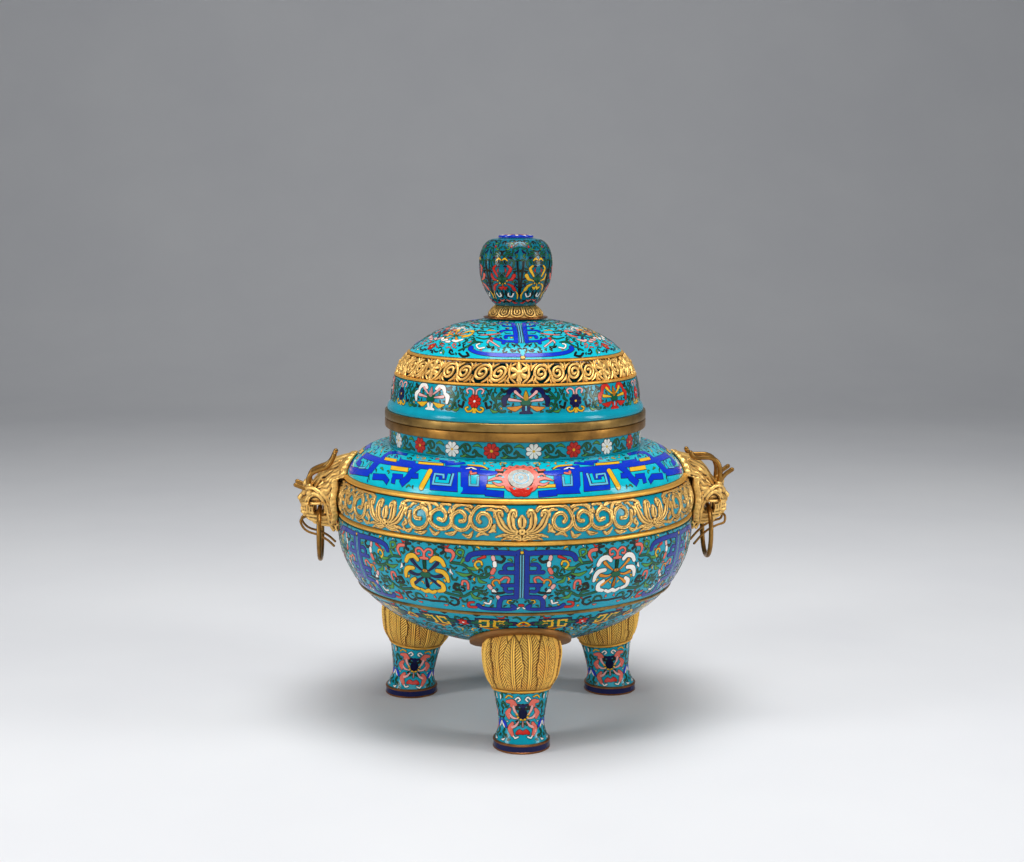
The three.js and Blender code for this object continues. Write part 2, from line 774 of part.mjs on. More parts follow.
function addLeg(name, azimuth) {
  const leg = new THREE.Group();
  leg.rotation.z = azimuth;
  burner.add(leg);
  add(`${name}_flange`, makeFlange(), bronze, leg);
  add(`${name}_bulb`, makeBulb(), gilt, leg);
  add(`${name}_fillet`, makeLegFillet(), gilt, leg);
  add(`${name}_shank`, makeShank(), turquoise, leg);
  add(`${name}_foot`, makeFoot(), darkBronze, leg);
  add(`${name}_stud`, makeLegStud(), bronze, leg);
  add(`${name}_nut`, makeLegNut(), bronze, leg);
}

// The front of each handle is the side nearer to the front leg
function addHandle(name, azimuth, front, wires) {
  const handle = new THREE.Group();
  handle.rotation.z = azimuth;
  burner.add(handle);
  add(`${name}_mask`, makeMask(wires), gilt, handle);
  add(`${name}_front_horn`, makeHorn(front, wires), bronze, handle);
  add(`${name}_rear_horn`, makeHorn(-front, wires), bronze, handle);
  add(`${name}_front_whisker`, makeWhisker(front, wires), bronze, handle);
  add(`${name}_rear_whisker`, makeWhisker(-front, wires), bronze, handle);
  add(`${name}_ring`, makeRing(), bronze, handle);
  add(`${name}_mask_stud`, makeMaskStud(), bronze, handle);
  add(`${name}_mask_nut`, makeMaskNut(), bronze, handle);
}

function addLid() {
  const lid = new THREE.Group();
  burner.add(lid);
  add('lid_ring', makeLidRing(), darkBronze, lid);
  add('lid_spigot', makeSpigot(), bronze, lid);
  add('lid_band', makeLidBand(), turquoise, lid);
  add('gallery_lower_fillet', makeGalleryFillet(galleryFilletBottom), gilt, lid);
  add('gallery', makeGallery(), gilt, lid);
  add('gallery_upper_fillet', makeGalleryFillet(galleryTop), gilt, lid);
  add('dome', makeDome(), turquoise, lid);
  add('knop_washer', makeWasher(), bronze, lid);
  add('knop_collar', makeCollar(), gilt, lid);
  add('knop', makeKnop(), turquoise, lid);
  add('knop_cap', makeKnopCap(), cobalt, lid);
  add('knop_stud', makeKnopStud(), bronze, lid);
  add('knop_nut', makeNut().translate(0, 0, nutTop), bronze, lid);
}

addVessel();
addLeg('front_leg', legAzimuths[0]);
addLeg('rear_left_leg', legAzimuths[1]);
addLeg('rear_right_leg', legAzimuths[2]);
addHandle('left', Math.PI, 1, leftWires);
addHandle('right', 0, -1, rightWires);
addLid();

export default burner;
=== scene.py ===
import bpy
import math
import random
import numpy as np
from mathutils import Matrix, Vector


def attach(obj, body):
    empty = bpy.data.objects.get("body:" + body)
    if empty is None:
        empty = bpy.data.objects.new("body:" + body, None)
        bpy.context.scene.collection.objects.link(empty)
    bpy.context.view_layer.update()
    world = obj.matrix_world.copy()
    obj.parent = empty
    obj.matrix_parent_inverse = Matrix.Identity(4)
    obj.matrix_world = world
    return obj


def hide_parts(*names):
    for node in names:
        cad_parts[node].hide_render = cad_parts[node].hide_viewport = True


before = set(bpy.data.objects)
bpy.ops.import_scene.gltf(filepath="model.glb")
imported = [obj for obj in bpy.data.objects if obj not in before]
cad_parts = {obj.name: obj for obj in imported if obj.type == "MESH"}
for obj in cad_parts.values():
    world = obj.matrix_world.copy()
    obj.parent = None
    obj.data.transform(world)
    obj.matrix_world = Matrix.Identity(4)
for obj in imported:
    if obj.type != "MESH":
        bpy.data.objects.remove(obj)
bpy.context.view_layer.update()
mm = 0.001


# Tools

def deselect():
    if bpy.context.object and bpy.context.object.mode != "OBJECT":
        bpy.ops.object.mode_set(mode="OBJECT")
    bpy.ops.object.select_all(action="DESELECT")


def pick(piece):
    deselect()
    piece.select_set(True)
    bpy.context.view_layer.objects.active = piece


def named(name):
    piece = bpy.context.object
    piece.name = name
    piece.data.name = name
    return piece


def fromData(name, points, faces, scale=mm):
    # a mesh from points, in millimetres unless scale is 1
    deselect()
    bpy.ops.mesh.primitive_plane_add(size=0.01)
    piece = named(name)
    piece.data.clear_geometry()
    piece.data.from_pydata((np.array(points) * scale).tolist(), [], faces)
    piece.data.update()
    return piece


def outward(piece):
    # turns the faces of a closed mesh outwards
    pick(piece)
    bpy.ops.object.mode_set(mode="EDIT")
    bpy.ops.mesh.select_all(action="SELECT")
    bpy.ops.mesh.normals_make_consistent(inside=False)
    bpy.ops.object.mode_set(mode="OBJECT")
    return piece


def settle(piece, look, body, nodes=(), angle=35):
    # gives it its metal or enamel, smooths it, bakes its place into the mesh and hands it to the frame
    if look:
        piece.data.materials.append(look)
    pick(piece)
    bpy.ops.object.transform_apply(location=True, rotation=True, scale=True)
    bpy.ops.object.shade_smooth_by_angle(angle=math.radians(angle))
    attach(piece, body)
    if nodes:
        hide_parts(*nodes)
    return piece


def lathe(name, outline, steps=180):
    # a ring of points is moved onto the outline in the XZ plane, then spun round Z
    deselect()
    bpy.ops.mesh.primitive_circle_add(vertices=len(outline), radius=0.01)
    piece = named(name)
    for vert, (r, z) in zip(piece.data.vertices, outline):
        vert.co = (r * mm, 0, z * mm)
    bpy.ops.object.mode_set(mode="EDIT")
    bpy.ops.mesh.select_all(action="SELECT")
    bpy.ops.mesh.spin(steps=steps, angle=2 * math.pi, center=(0, 0, 0), axis=(0, 0, 1))
    bpy.ops.mesh.select_all(action="SELECT")
    bpy.ops.mesh.remove_doubles(threshold=1e-6)
    bpy.ops.mesh.delete_loose()
    return outward(piece)


def shell(outer, wall):
    # closes an outer line [r, z] with a line inside it, level at both ends
    line = np.array(outer, float)
    along = np.gradient(line, axis=0)
    along /= np.linalg.norm(along, axis=1)[:, None]
    inner = line - wall * np.c_[along[:, 1], -along[:, 0]]
    inner[:, 0] = np.maximum(inner[:, 0], 0)
    inner[-1, 1] = line[-1, 1]
    if line[0, 0] > 0:
        inner[0, 1] = line[0, 1]
    else:
        inner[0] = (0, line[0, 1] + wall)
    return [tuple(p) for p in line] + [tuple(p) for p in inner[::-1]]


def tubeFaces(start, rings, count):
    # quads between rings of count points from start on, and a face over each end
    faces = []
    for base in range(start, start + (rings - 1) * count, count):
        faces += [[base + j, base + (j + 1) % count, base + count + (j + 1) % count, base + count + j]
                  for j in range(count)]
    last = start + (rings - 1) * count
    return faces + [list(range(start + count - 1, start - 1, -1)), list(range(last, last + count))]


def gridFaces(rows, columns, total):
    # quads over rows of points that close round, as one array; total is the row after which they start again
    i, j = np.meshgrid(np.arange(rows), np.arange(columns), indexing="ij")
    k, l = (i + 1) % total, (j + 1) % columns
    return np.stack([i * columns + j, i * columns + l, k * columns + l, k * columns + j],
                    -1).reshape(-1, 4).tolist()


def circle(count):
    return np.linspace(0, 2 * math.pi, count, endpoint=False)


def around(r, turn, z):
    # points at radius r and height z, turned from the front
    return np.stack(np.broadcast_arrays(r * np.sin(turn), -r * np.cos(turn), z), -1)


def moved(matrix, points):
    flat = points.reshape(-1, 3)
    return (np.c_[flat, np.ones(len(flat))] @ np.array(matrix).T)[:, :3].reshape(points.shape)


# Materials

def linear(code):
    # sRGB hex to the linear colour that Blender wants
    parts = [int(code[i:i + 2], 16) / 255 for i in (0, 2, 4)]
    return tuple(p / 12.92 if p <= 0.04045 else ((p + 0.055) / 1.055) ** 2.4 for p in parts) + (1,)


def newGroup(name, inputs, outputs):
    group = bpy.data.node_groups.new(name, "ShaderNodeTree")
    for label, kind, value in inputs:
        socket = group.interface.new_socket(label, in_out="INPUT", socket_type="NodeSocket" + kind)
        socket.default_value = value
    for label, kind in outputs:
        group.interface.new_socket(label, in_out="OUTPUT", socket_type="NodeSocket" + kind)
    return group, group.nodes.new("NodeGroupInput"), group.nodes.new("NodeGroupOutput")


def plug(tree, pairs):
    # each pair is an input and what goes in, another socket or a plain value
    for socket, value in pairs:
        if isinstance(value, bpy.types.NodeSocket):
            tree.links.new(value, socket)
        else:
            socket.default_value = value


def addNode(tree, kind, values, **settings):
    # values are for its inputs, by label or number
    node = tree.nodes.new("ShaderNode" + kind)
    for label, value in settings.items():
        setattr(node, label, value)
    plug(tree, [(node.inputs[label], value) for label, value in values.items()])
    return node


def noise(tree, scale, detail=4, roughness=0.55):
    place = tree.nodes.new("ShaderNodeTexCoord").outputs["Object"]
    values = {"Vector": place, "Scale": scale, "Detail": detail, "Roughness": roughness}
    return addNode(tree, "TexNoise", values).outputs["Fac"]


def mapRange(tree, source, low, high, toLow, toHigh):
    values = {"Value": source, "From Min": low, "From Max": high, "To Min": toLow, "To Max": toHigh}
    return addNode(tree, "MapRange", values).outputs["Result"]


def mix(tree, kind, amount, a, b):
    return addNode(tree, "Mix", {"Factor": amount, 6: a, 7: b}, data_type="RGBA", blend_type=kind).outputs[2]


def calc(tree, operation, *values, clamp=False):
    return addNode(tree, "Math", dict(enumerate(values)), operation=operation, use_clamp=clamp).outputs[0]


def bump(tree, height, strength, distance):
    return addNode(tree, "Bump", {"Strength": strength, "Distance": distance,
                                  "Height": height}).outputs["Normal"]


def makeEnamelGroup():
    # cloudy glass with pinholes and fine polishing marks
    group, start, end = newGroup("enamelSurface",
                                 [("Colour", "Color", (0, 0.4, 0.5, 1)), ("Cloud", "Float", 0.3)],
                                 [("Colour", "Color"), ("Roughness", "Float"), ("Height", "Float")])
    cloud, speck = noise(group, 70, 5), noise(group, 900, 2, 0.7)
    shade = mapRange(group, cloud, 0.35, 0.65, 0.72, 1.12)
    tint = addNode(group, "CombineColor", {0: shade, 1: shade, 2: shade}).outputs["Color"]
    clouded = mix(group, "MULTIPLY", start.outputs["Cloud"], start.outputs["Colour"], tint)
    pits = mapRange(group, speck, 0.69, 0.74, 0, 0.75)
    plug(group, ((end.inputs["Colour"], mix(group, "MIX", pits, clouded, linear("1E2A2C"))),
                 (end.inputs["Roughness"], mapRange(group, cloud, 0.3, 0.7, 0.1, 0.24)),
                 (end.inputs["Height"], mapRange(group, speck, 0.66, 0.76, 1, 0))))
    return group


def makeMetalGroup():
    # clean metal on the high places, grime and painted shade in the low ones (darker, rougher and less
    # metallic), tarnish in clouds and fine pitting
    group, start, end = newGroup(
        "agedMetalWithShade",
        [("Bright", "Color", (0.8, 0.55, 0.2, 1)), ("Tarnish", "Color", (0.3, 0.16, 0.06, 1)),
         ("GrimeAndShade", "Color", (0.05, 0.03, 0.02, 1)), ("Low", "Float", 0), ("Wear", "Float", 0.5),
         ("Satin", "Float", 0)],
        [("Colour", "Color"), ("Roughness", "Float"), ("Height", "Float"), ("Metallic", "Float")])
    cloud = noise(group, 55, 6, 0.6)
    patch = mapRange(group, cloud, 0.45, 0.7, 0, 1)
    low, satin = start.outputs["Low"], start.outputs["Satin"]
    worn = calc(group, "MULTIPLY", patch, start.outputs["Wear"])
    aged = mix(group, "MIX", worn, start.outputs["Bright"], start.outputs["Tarnish"])
    clean = mapRange(group, cloud, 0.3, 0.7, 0.26, 0.42)
    rough = calc(group, "MULTIPLY_ADD", low, 0.3, clean)
    shiny = mapRange(group, low, 0, 1, 1, 0.5)
    plug(group, ((end.inputs["Colour"], mix(group, "MIX", low, aged, start.outputs["GrimeAndShade"])),
                 (end.inputs["Roughness"], calc(group, "MULTIPLY_ADD", satin, 0.5, rough)),
                 (end.inputs["Height"], noise(group, 700, 3, 0.6)),
                 (end.inputs["Metallic"], calc(group, "SUBTRACT", shiny, satin, clamp=True))))
    return group


def newMaterial(name):
    material = bpy.data.materials.new(name)
    material.use_nodes = True
    return material, material.node_tree, material.node_tree.nodes["Principled BSDF"]


def grouped(name, group, values, strength, distance):
    # a material round one of the two groups, with its values and the strength of its bump
    material, tree, shader = newMaterial(name)
    surface = addNode(tree, "Group", values, node_tree=group)
    for label, target in (("Colour", "Base Color"), ("Roughness", "Roughness"), ("Metallic", "Metallic")):
        if label in surface.outputs:
            tree.links.new(surface.outputs[label], shader.inputs[target])
    tree.links.new(bump(tree, surface.outputs["Height"], strength, distance), shader.inputs["Normal"])
    return material, shader, surface


def enamel(name, code):
    material, shader, surface = grouped(name, enamelGroup, {"Colour": linear(code), "Cloud": 0.35}, 0.25,
                                        0.0002)
    gloss = {"Coat Weight": 0.08, "Coat Roughness": 0.06, "Specular IOR Level": 0.24}
    plug(material.node_tree, [(shader.inputs[label], value) for label, value in gloss.items()])
    return material


def metal(name, bright, tarnish, grimeAndShade, wear=0.5, low=None, satin=0.1):
    # low is the name of the attribute that is 1 in the hollows of the relief, where the third colour paints
    # grime and shade
    values = {"Bright": linear(bright), "Tarnish": linear(tarnish), "GrimeAndShade": linear(grimeAndShade), "Wear": wear,
              "Satin": satin}
    material, shader, surface = grouped(name, metalGroup, values, 0.15, 0.0004)
    if low:
        mask = addNode(material.node_tree, "Attribute", {}, attribute_name=low)
        material.node_tree.links.new(mask.outputs["Fac"], surface.inputs["Low"])
    return material


enamelGroup = makeEnamelGroup()
metalGroup = makeMetalGroup()
# shadedTurquoise is the turquoise with painted shade, for the bowl, neck, lid band, belt ground and shanks;
# deepCobalt is the cobalt with painted shade, for the bowl's stems; shadedKnopTurquoise is turquoise with
# more painted shade, for the knop
enamelCodes = {"turquoise": "06BACC", "shadedTurquoise": "0496AC", "shadedKnopTurquoise": "04687A",
               "cobalt": "0434C2", "deepCobalt": "062C92", "navy": "101548", "paleBlue": "63B5D2",
               "green": "0B5A3C", "leaf": "4C8C3C", "yellow": "E7B32A", "orange": "D98A28", "red": "C6281E",
               "coral": "DE6C5C", "pink": "E4A9A4", "white": "EDEAE2", "black": "15211F"}
enamels = {name: enamel(name + "Enamel", code) for name, code in enamelCodes.items()}
enamels["wire"] = metal("copperWire", "3A2814", "160E08", "120B07", 0.9)
# the third colour of each metal is grime and painted shade, laid in its hollows where it reads the hollow
# mark
metals = {
    "gilt": metal("giltMetal", "F0B650", "AC7630", "3A2512", 0.5, satin=0.25),
    "reliefGilt": metal("giltRelief", "F6C874", "BE8C44", "3A220E", 0.6, "hollow", 0.2),
    "bulbGilt": metal("giltBulb", "FFCE60", "FFAC46", "5A2E0C", 0.5, "hollow", 0.55),
    "bronze": metal("brownBronze", "9A7034", "54381A", "24160A", 0.75),
    "darkBronze": metal("darkBronze", "92743F", "54401F", "1C130C", 0.8),
    "copperRelief": metal("saucerCopper", "B07A38", "8A5A30", "3A2214", 0.6, "hollow"),
    "copper": metal("brownCopper", "9A6238", "5A3620", "22140C", 0.8),
}

# Profiles, in millimetres

vessel = {"belly": 163.6, "widest": 180, "floor": 72, "fullness": 0.44, "wall": 3.4, "moulding": 126,
          "beltRadius": 165.2, "beltMiddle": 203, "beltCurve": 0.014, "neck": 115.4, "mouth": 119.8,
          "inside": 112}
shoulder = {"foot": 227.5, "rise": 25.7, "top": 118.8, "flare": 36.4}
dome = {"foot": 290, "rise": 77.5, "radius": 114.3, "power": 2.4, "wall": 3}
starts = {"bowl": -1.2, "shoulder": -1.4, "neck": 4.6, "band": 1.3, "gallery": -1.6, "dome": 0.5}
starts = {name: math.radians(angle) for name, angle in starts.items()}   # how far each ornament is turned


def bowlRadius(z):
    drop = np.clip((vessel["widest"] - z) / (vessel["widest"] - vessel["floor"]), 0, 1)
    return vessel["belly"] * np.maximum(1 - drop ** 2, 0) ** vessel["fullness"]


def bowlHeight(r):
    share = np.sqrt(np.maximum(1 - (r / vessel["belly"]) ** (1 / vessel["fullness"]), 0))
    return vessel["widest"] - share * (vessel["widest"] - vessel["floor"])


def beltRadius(z):
    return vessel["beltRadius"] - vessel["beltCurve"] * (z - vessel["beltMiddle"]) ** 2


def shoulderRadius(z):
    rise = np.clip((z - shoulder["foot"]) / shoulder["rise"], 0, 1)
    return shoulder["top"] + shoulder["flare"] * (1 - rise ** 1.6) ** 0.55


def domeRadius(z):
    rise = np.clip((z - dome["foot"]) / dome["rise"], 0, 1)
    return dome["radius"] * (1 - rise ** dome["power"]) ** (1 / dome["power"])


def bowlLine():
    low = [(r, bowlHeight(r)) for r in np.linspace(0, 100, 21)]
    high = [(bowlRadius(z), z) for z in np.linspace(bowlHeight(100), 188, 40)[1:]]
    return low + high


def shoulderLine():
    return [(shoulderRadius(z), z) for z in 227.8 + 25.4 * np.linspace(0, 1, 28) ** 0.8]


def domeLine():
    return [(domeRadius(z), z) for z in 338.8 + 28.7 * np.linspace(0, 1, 40) ** 0.6]


def bandLine():
    return [(114.6, 293.4)] + [(domeRadius(z), z) for z in np.linspace(295, 315.7, 14)]


# The burner's turned walls

def makeVessel():
    bowl = lathe("bowl_shell", shell(bowlLine(), vessel["wall"]))
    # turquoise darkened as painted shade
    settle(bowl, enamels["shadedTurquoise"], "vessel", ["bowl"])
    z = vessel["moulding"]
    r = bowlRadius(z)
    ring = lathe("moulding_ring", [
        (bowlRadius(z - 1.8) + 0.2, z - 1.8), (r + 1.0, z - 1.1), (r + 1.6, z - 0.2), (r + 1.7, z + 0.6),
        (r + 1.2, z + 1.3), (bowlRadius(z + 1.8) + 0.2, z + 1.8)])
    settle(ring, metals["darkBronze"], "vessel", ["bowl_moulding"])
    for name, low in (("lower", 188.3), ("upper", 222.8)):
        z = low + 2.2   # the middle of the bead
        r = beltRadius(z) - 1.2
        bead = [(r - 3.6, low), (r, low), (r + 1.1, low + 0.7), (r + 1.7, z - 0.5), (r + 1.7, z + 0.5),
                (r + 1.1, low + 3.7), (r, low + 4.4), (r - 3.6, low + 4.4)]
        fillet = lathe("belt_" + name + "_bead", bead)
        settle(fillet, metals["gilt"], "vessel", ["belt_" + name + "_fillet"])
    inside, neck, mouth = vessel["inside"], vessel["neck"], vessel["mouth"]
    ledge = [(inside, 253.2), (inside, 249.8)]   # the neck stands on it
    outer = shoulderLine()
    inner = [p for p in shell(outer, vessel["wall"])[len(outer):] if p[1] < 249.5]
    flank = lathe("shoulder_shell", outer + ledge + inner)
    settle(flank, enamels["turquoise"], "vessel", ["shoulder"])
    collar = lathe("neck_wall", [(inside, 253.5), (neck + 0.5, 253.5), (neck + 0.5, 254.4), (neck, 254.7),
                                 (neck, 269),
                                 (inside, 269)])
    # turquoise darkened as painted shade
    settle(collar, enamels["shadedTurquoise"], "vessel", ["neck"])
    rim = lathe("mouth_rim", [(inside, 269.3), (118.9, 269.3), (119.6, 269.9), (mouth, 271), (mouth, 276),
                              (119.6, 277),
                              (119, 277.5), (inside, 277.5)])
    settle(rim, metals["bronze"], "vessel", ["mouth_ring"])


def makeLid():
    mouth = vessel["mouth"]
    ring = lathe("lid_rim", [(111, 277.8), (119, 277.8), (119.6, 278.3), (mouth, 279.3), (mouth, 283.6),
                             (119.5, 284.7),
                             (118.8, 285.2), (111, 285.2)])
    settle(ring, metals["darkBronze"], "lid", ["lid_ring"])
    lip = [(117.4, 285.5), (117.6, 287), (117.4, 288.6), (116.6, 290.4), (115.6, 291.8)]
    band = lathe("lid_band_wall", shell(lip + bandLine(), dome["wall"]))
    # turquoise darkened as painted shade
    settle(band, enamels["shadedTurquoise"], "lid", ["lid_band"])
    for name, low in (("lower", 316.2), ("upper", 335.8)):
        r = domeRadius(low + 1.2)
        bead = [(r - 3, low), (r - 0.4, low), (r + 0.5, low + 0.5), (r + 0.8, low + 1.2),
                (r + 0.5, low + 1.9),
                (r - 0.4, low + 2.4), (r - 3, low + 2.4)]
        fillet = lathe("gallery_" + name + "_bead", bead)
        settle(fillet, metals["gilt"], "lid", ["gallery_" + name + "_fillet"])
    top = lathe("dome_shell", shell(domeLine()[:-1] + [(4.3, 367.5)], dome["wall"]))
    settle(top, enamels["turquoise"], "lid", ["dome"])


# Camera, light and floor

stage = {"camera": (-87.4, -1500.1, 469.4), "pitch": 7.814, "heading": 3.223, "roll": 0.2, "lens": 57.755,
         "floor": "E9EAEC", "floorCloud": "E4E5E8", "room": "E8ECF2", "roomPower": 0.15, "aim": (0, 0, 0.22),
         "lamps": [("leftSoftbox", (-1.85, -0.75, 0.8), 0.5, 1.0, 16),
                                      ("rightSoftbox", (1.85, -0.65, 0.8), 0.5, 1.0, 15),
                                      ("topSoftbox", (0, -0.25, 1.9), 0.9, 1.2, 28),
                                      ("frontSoftbox", (-0.1, -2.6, 0.6), 2.4, 1.0, 13)]}


def makeStage():
    camera = bpy.data.objects.new("camera", bpy.data.cameras.new("camera"))
    bpy.context.scene.collection.objects.link(camera)
    turn = Matrix.Rotation(-math.radians(stage["heading"]), 4, "Z")
    tip = Matrix.Rotation(math.radians(90 - stage["pitch"]), 4, "X")
    roll = Matrix.Rotation(math.radians(stage["roll"]), 4, "Z")
    camera.matrix_world = Matrix.Translation(Vector(stage["camera"]) * mm) @ turn @ tip @ roll
    camera.data.lens = stage["lens"]
    camera.data.sensor_width = 36
    bpy.context.scene.camera = camera
    for name, place, width, height, power in stage["lamps"]:
        lamp = bpy.data.lights.new(name, "AREA")
        lamp.shape = "RECTANGLE"
        lamp.size = width
        lamp.size_y = height
        lamp.energy = power
        holder = bpy.data.objects.new(name, lamp)
        bpy.context.scene.collection.objects.link(holder)
        holder.location = place
        aim = Vector(stage["aim"]) - Vector(place)
        holder.rotation_euler = aim.to_track_quat("-Z", "Y").to_euler()
    # a sweep: flat under the burner, curving up far behind it
    far, bend = 2.2, 1.6
    profile = [(far + bend * math.sin(a), bend - bend * math.cos(a)) for a in np.linspace(0.1, 1.57, 16)]
    profile = [(-4, 0), (far, 0)] + profile + [(far + bend, 6)]
    verts = [(x, y, z) for x in (-7, 7) for y, z in profile]
    count = len(profile)
    floor = fromData("floor", verts, [(i, i + count, i + count + 1, i + 1) for i in range(count - 1)], 1)
    bpy.ops.object.shade_smooth()
    material, tree, shader = newMaterial("paleSweep")
    tint = mix(tree, "MIX", mapRange(tree, noise(tree, 3, 3), 0.3, 0.7, 0, 1), linear(stage["floor"]),
               linear(stage["floorCloud"]))
    plug(tree, ((shader.inputs["Base Color"], tint), (shader.inputs["Roughness"], 0.75)))
    floor.data.materials.append(material)
    world = bpy.data.worlds.new("paleRoom")
    bpy.context.scene.world = world
    world.use_nodes = True
    background = world.node_tree.nodes["Background"]
    background.inputs["Color"].default_value = linear(stage["room"])
    background.inputs["Strength"].default_value = stage["roomPower"]
    bpy.context.scene.view_settings.view_transform = "Standard"


# Enamel ornament: strokes drawn flat in millimetres and laid on a wall

wireWidth = 0.5
sunkBy = 0.25   # how far the underside of a stroke lies in the wall
straightStep, acrossStep = 3, 2.6   # the longest faces along a straight stroke and across any stroke
midline = 0.004   # radians that the fill keeps from the lines it is mirrored in
fillShapes = [([(0, 0), (2, 2.3), (5, 2.4), (6.4, 0), (4.8, -1.6), (3.2, -0.6)], (0.7, 1.25, 0.9)),
              ([(0, 0), (2.6, 1.5), (5.4, 1)], (0.5, 1.9, 0.5)),
              ([(0, 0), (2, -1.4), (4.4, -0.4), (6.2, 1.6)], (0.5, 1.4, 0.6)),
              ([(-0.4, 2.4), (1.6, 0.2), (4, 0.8), (4.2, 3)], (0.8, 1.1, 0.8)),
              ([(0, 0), (1.4, 1), (2.8, 0.6)], (0.5, 1.3, 0.5))]
fillColours = {"green": 10, "black": 3, "leaf": 2, "coral": 1.6, "white": 0.7, "yellow": 1.2, "navy": 1.4,
               "red": 0.8}
roundEnd = [(1.0, 0.05), (0.93, 0.37), (0.7, 0.71), (0.38, 0.92)]
smallEnd = [(0.94, 0.3), (0.55, 0.84)]   # for strokes under 2 mm
pointedBelow = 0.35   # half widths that get no round end


def runOf(line):
    # the distance along a line at each of its points
    return np.r_[0, np.cumsum(np.linalg.norm(np.diff(line, axis=0), axis=1))]


def spread(values, run):
    # one value, or several spaced evenly along the line, for each of its points
    values = np.atleast_1d(np.array(values, float))
    return np.interp(run / run[-1], np.linspace(0, 1, len(values)), values)


def wallOf(line, groove=None):
    # a lathed wall as a table along its outline; groove(turn, z) is how far it is cut in
    line = np.array(line, float)
    slope = np.gradient(line, axis=0)
    slope /= np.linalg.norm(slope, axis=1)[:, None]
    return {"r": line[:, 0], "z": line[:, 1], "run": runOf(line), "out": slope[:, 1], "up": -slope[:, 0],
            "groove": groove}


def spots(wall, turn, v, lift):
    # turn is the angle round Z from the front, v the distance up the wall
    r = np.interp(v, wall["run"], wall["r"])
    z = np.interp(v, wall["run"], wall["z"])
    r = r + lift * np.interp(v, wall["run"], wall["out"])
    z = z + lift * np.interp(v, wall["run"], wall["up"])
    if wall["groove"]:
        r = r - wall["groove"](turn, z)
    return around(r, turn, z)


def curve(points, step=2.2):
    # a smooth line through the points
    p = np.array(points, float)
    if len(p) < 3:
        count = max(int(np.linalg.norm(p[-1] - p[0]) / step), 1)
        return np.linspace(p[0], p[-1], count + 1)
    q = np.vstack([2 * p[0] - p[1], p, 2 * p[-1] - p[-2]])
    out = []
    for i in range(1, len(q) - 2):
        count = max(int(np.ceil(np.linalg.norm(q[i + 1] - q[i]) / step)), 1)
        t = (np.arange(count) / count)[:, None]
        a, b, c, d = q[i - 1:i + 3]
        out.append(0.5 * (2 * b + (c - a) * t + (2 * a - 5 * b + 4 * c - d) * t ** 2 + (3 * b - a - 3 * c + d)
                          * t ** 3))
    return np.vstack(out + [p[-1:]])


def strip(points, width, sharp=False, extra=0.0, step=2.2):
    # left and right edges of a stroke whose width runs through the given values
    line = np.array(points, float) if sharp else curve(points, step)
    if sharp:
        parts = [np.linspace(a, b, max(int(np.linalg.norm(b - a) / straightStep), 1) + 1)[:-1]
                 for a, b in zip(line, line[1:])]
        line = np.vstack(parts + [line[-1:]])
    wide = spread(width, runOf(line)) / 2 + extra
    ahead = np.diff(line, axis=0)
    ahead /= np.linalg.norm(ahead, axis=1)[:, None]
    before, after = np.vstack([ahead[:1], ahead]), np.vstack([ahead, ahead[-1:]])
    mean = before + after
    mean /= np.maximum(np.linalg.norm(mean, axis=1), 0.3)[:, None]
    fit = 1 / np.clip((mean * before).sum(1), 0.6, 1)
    side = np.c_[-mean[:, 1], mean[:, 0]] * (wide * fit)[:, None]
    left, right = line + side, line - side
    if not sharp:
        for end, first in ((0, True), (-1, False)):
            half = wide[end]
            if half < pointedBelow:
                continue
            away = -ahead[0] if first else ahead[-1]
            norm = np.array([-ahead[end][1], ahead[end][0]])
            cap = roundEnd if half > 1 else smallEnd
            cap = [(line[end] + away * half * out, norm * half * share) for out,
                   share in (cap if first else cap[::-1])]
            capLeft, capRight = [p + q for p, q in cap], [p - q for p, q in cap]
            left = np.vstack([capLeft, left] if first else [left, capLeft])
            right = np.vstack([capRight, right] if first else [right, capRight])
    elif extra:
        left[0], right[0] = left[0] - ahead[0] * extra, right[0] - ahead[0] * extra
        left[-1], right[-1] = left[-1] + ahead[-1] * extra, right[-1] + ahead[-1] * extra
    return left, right


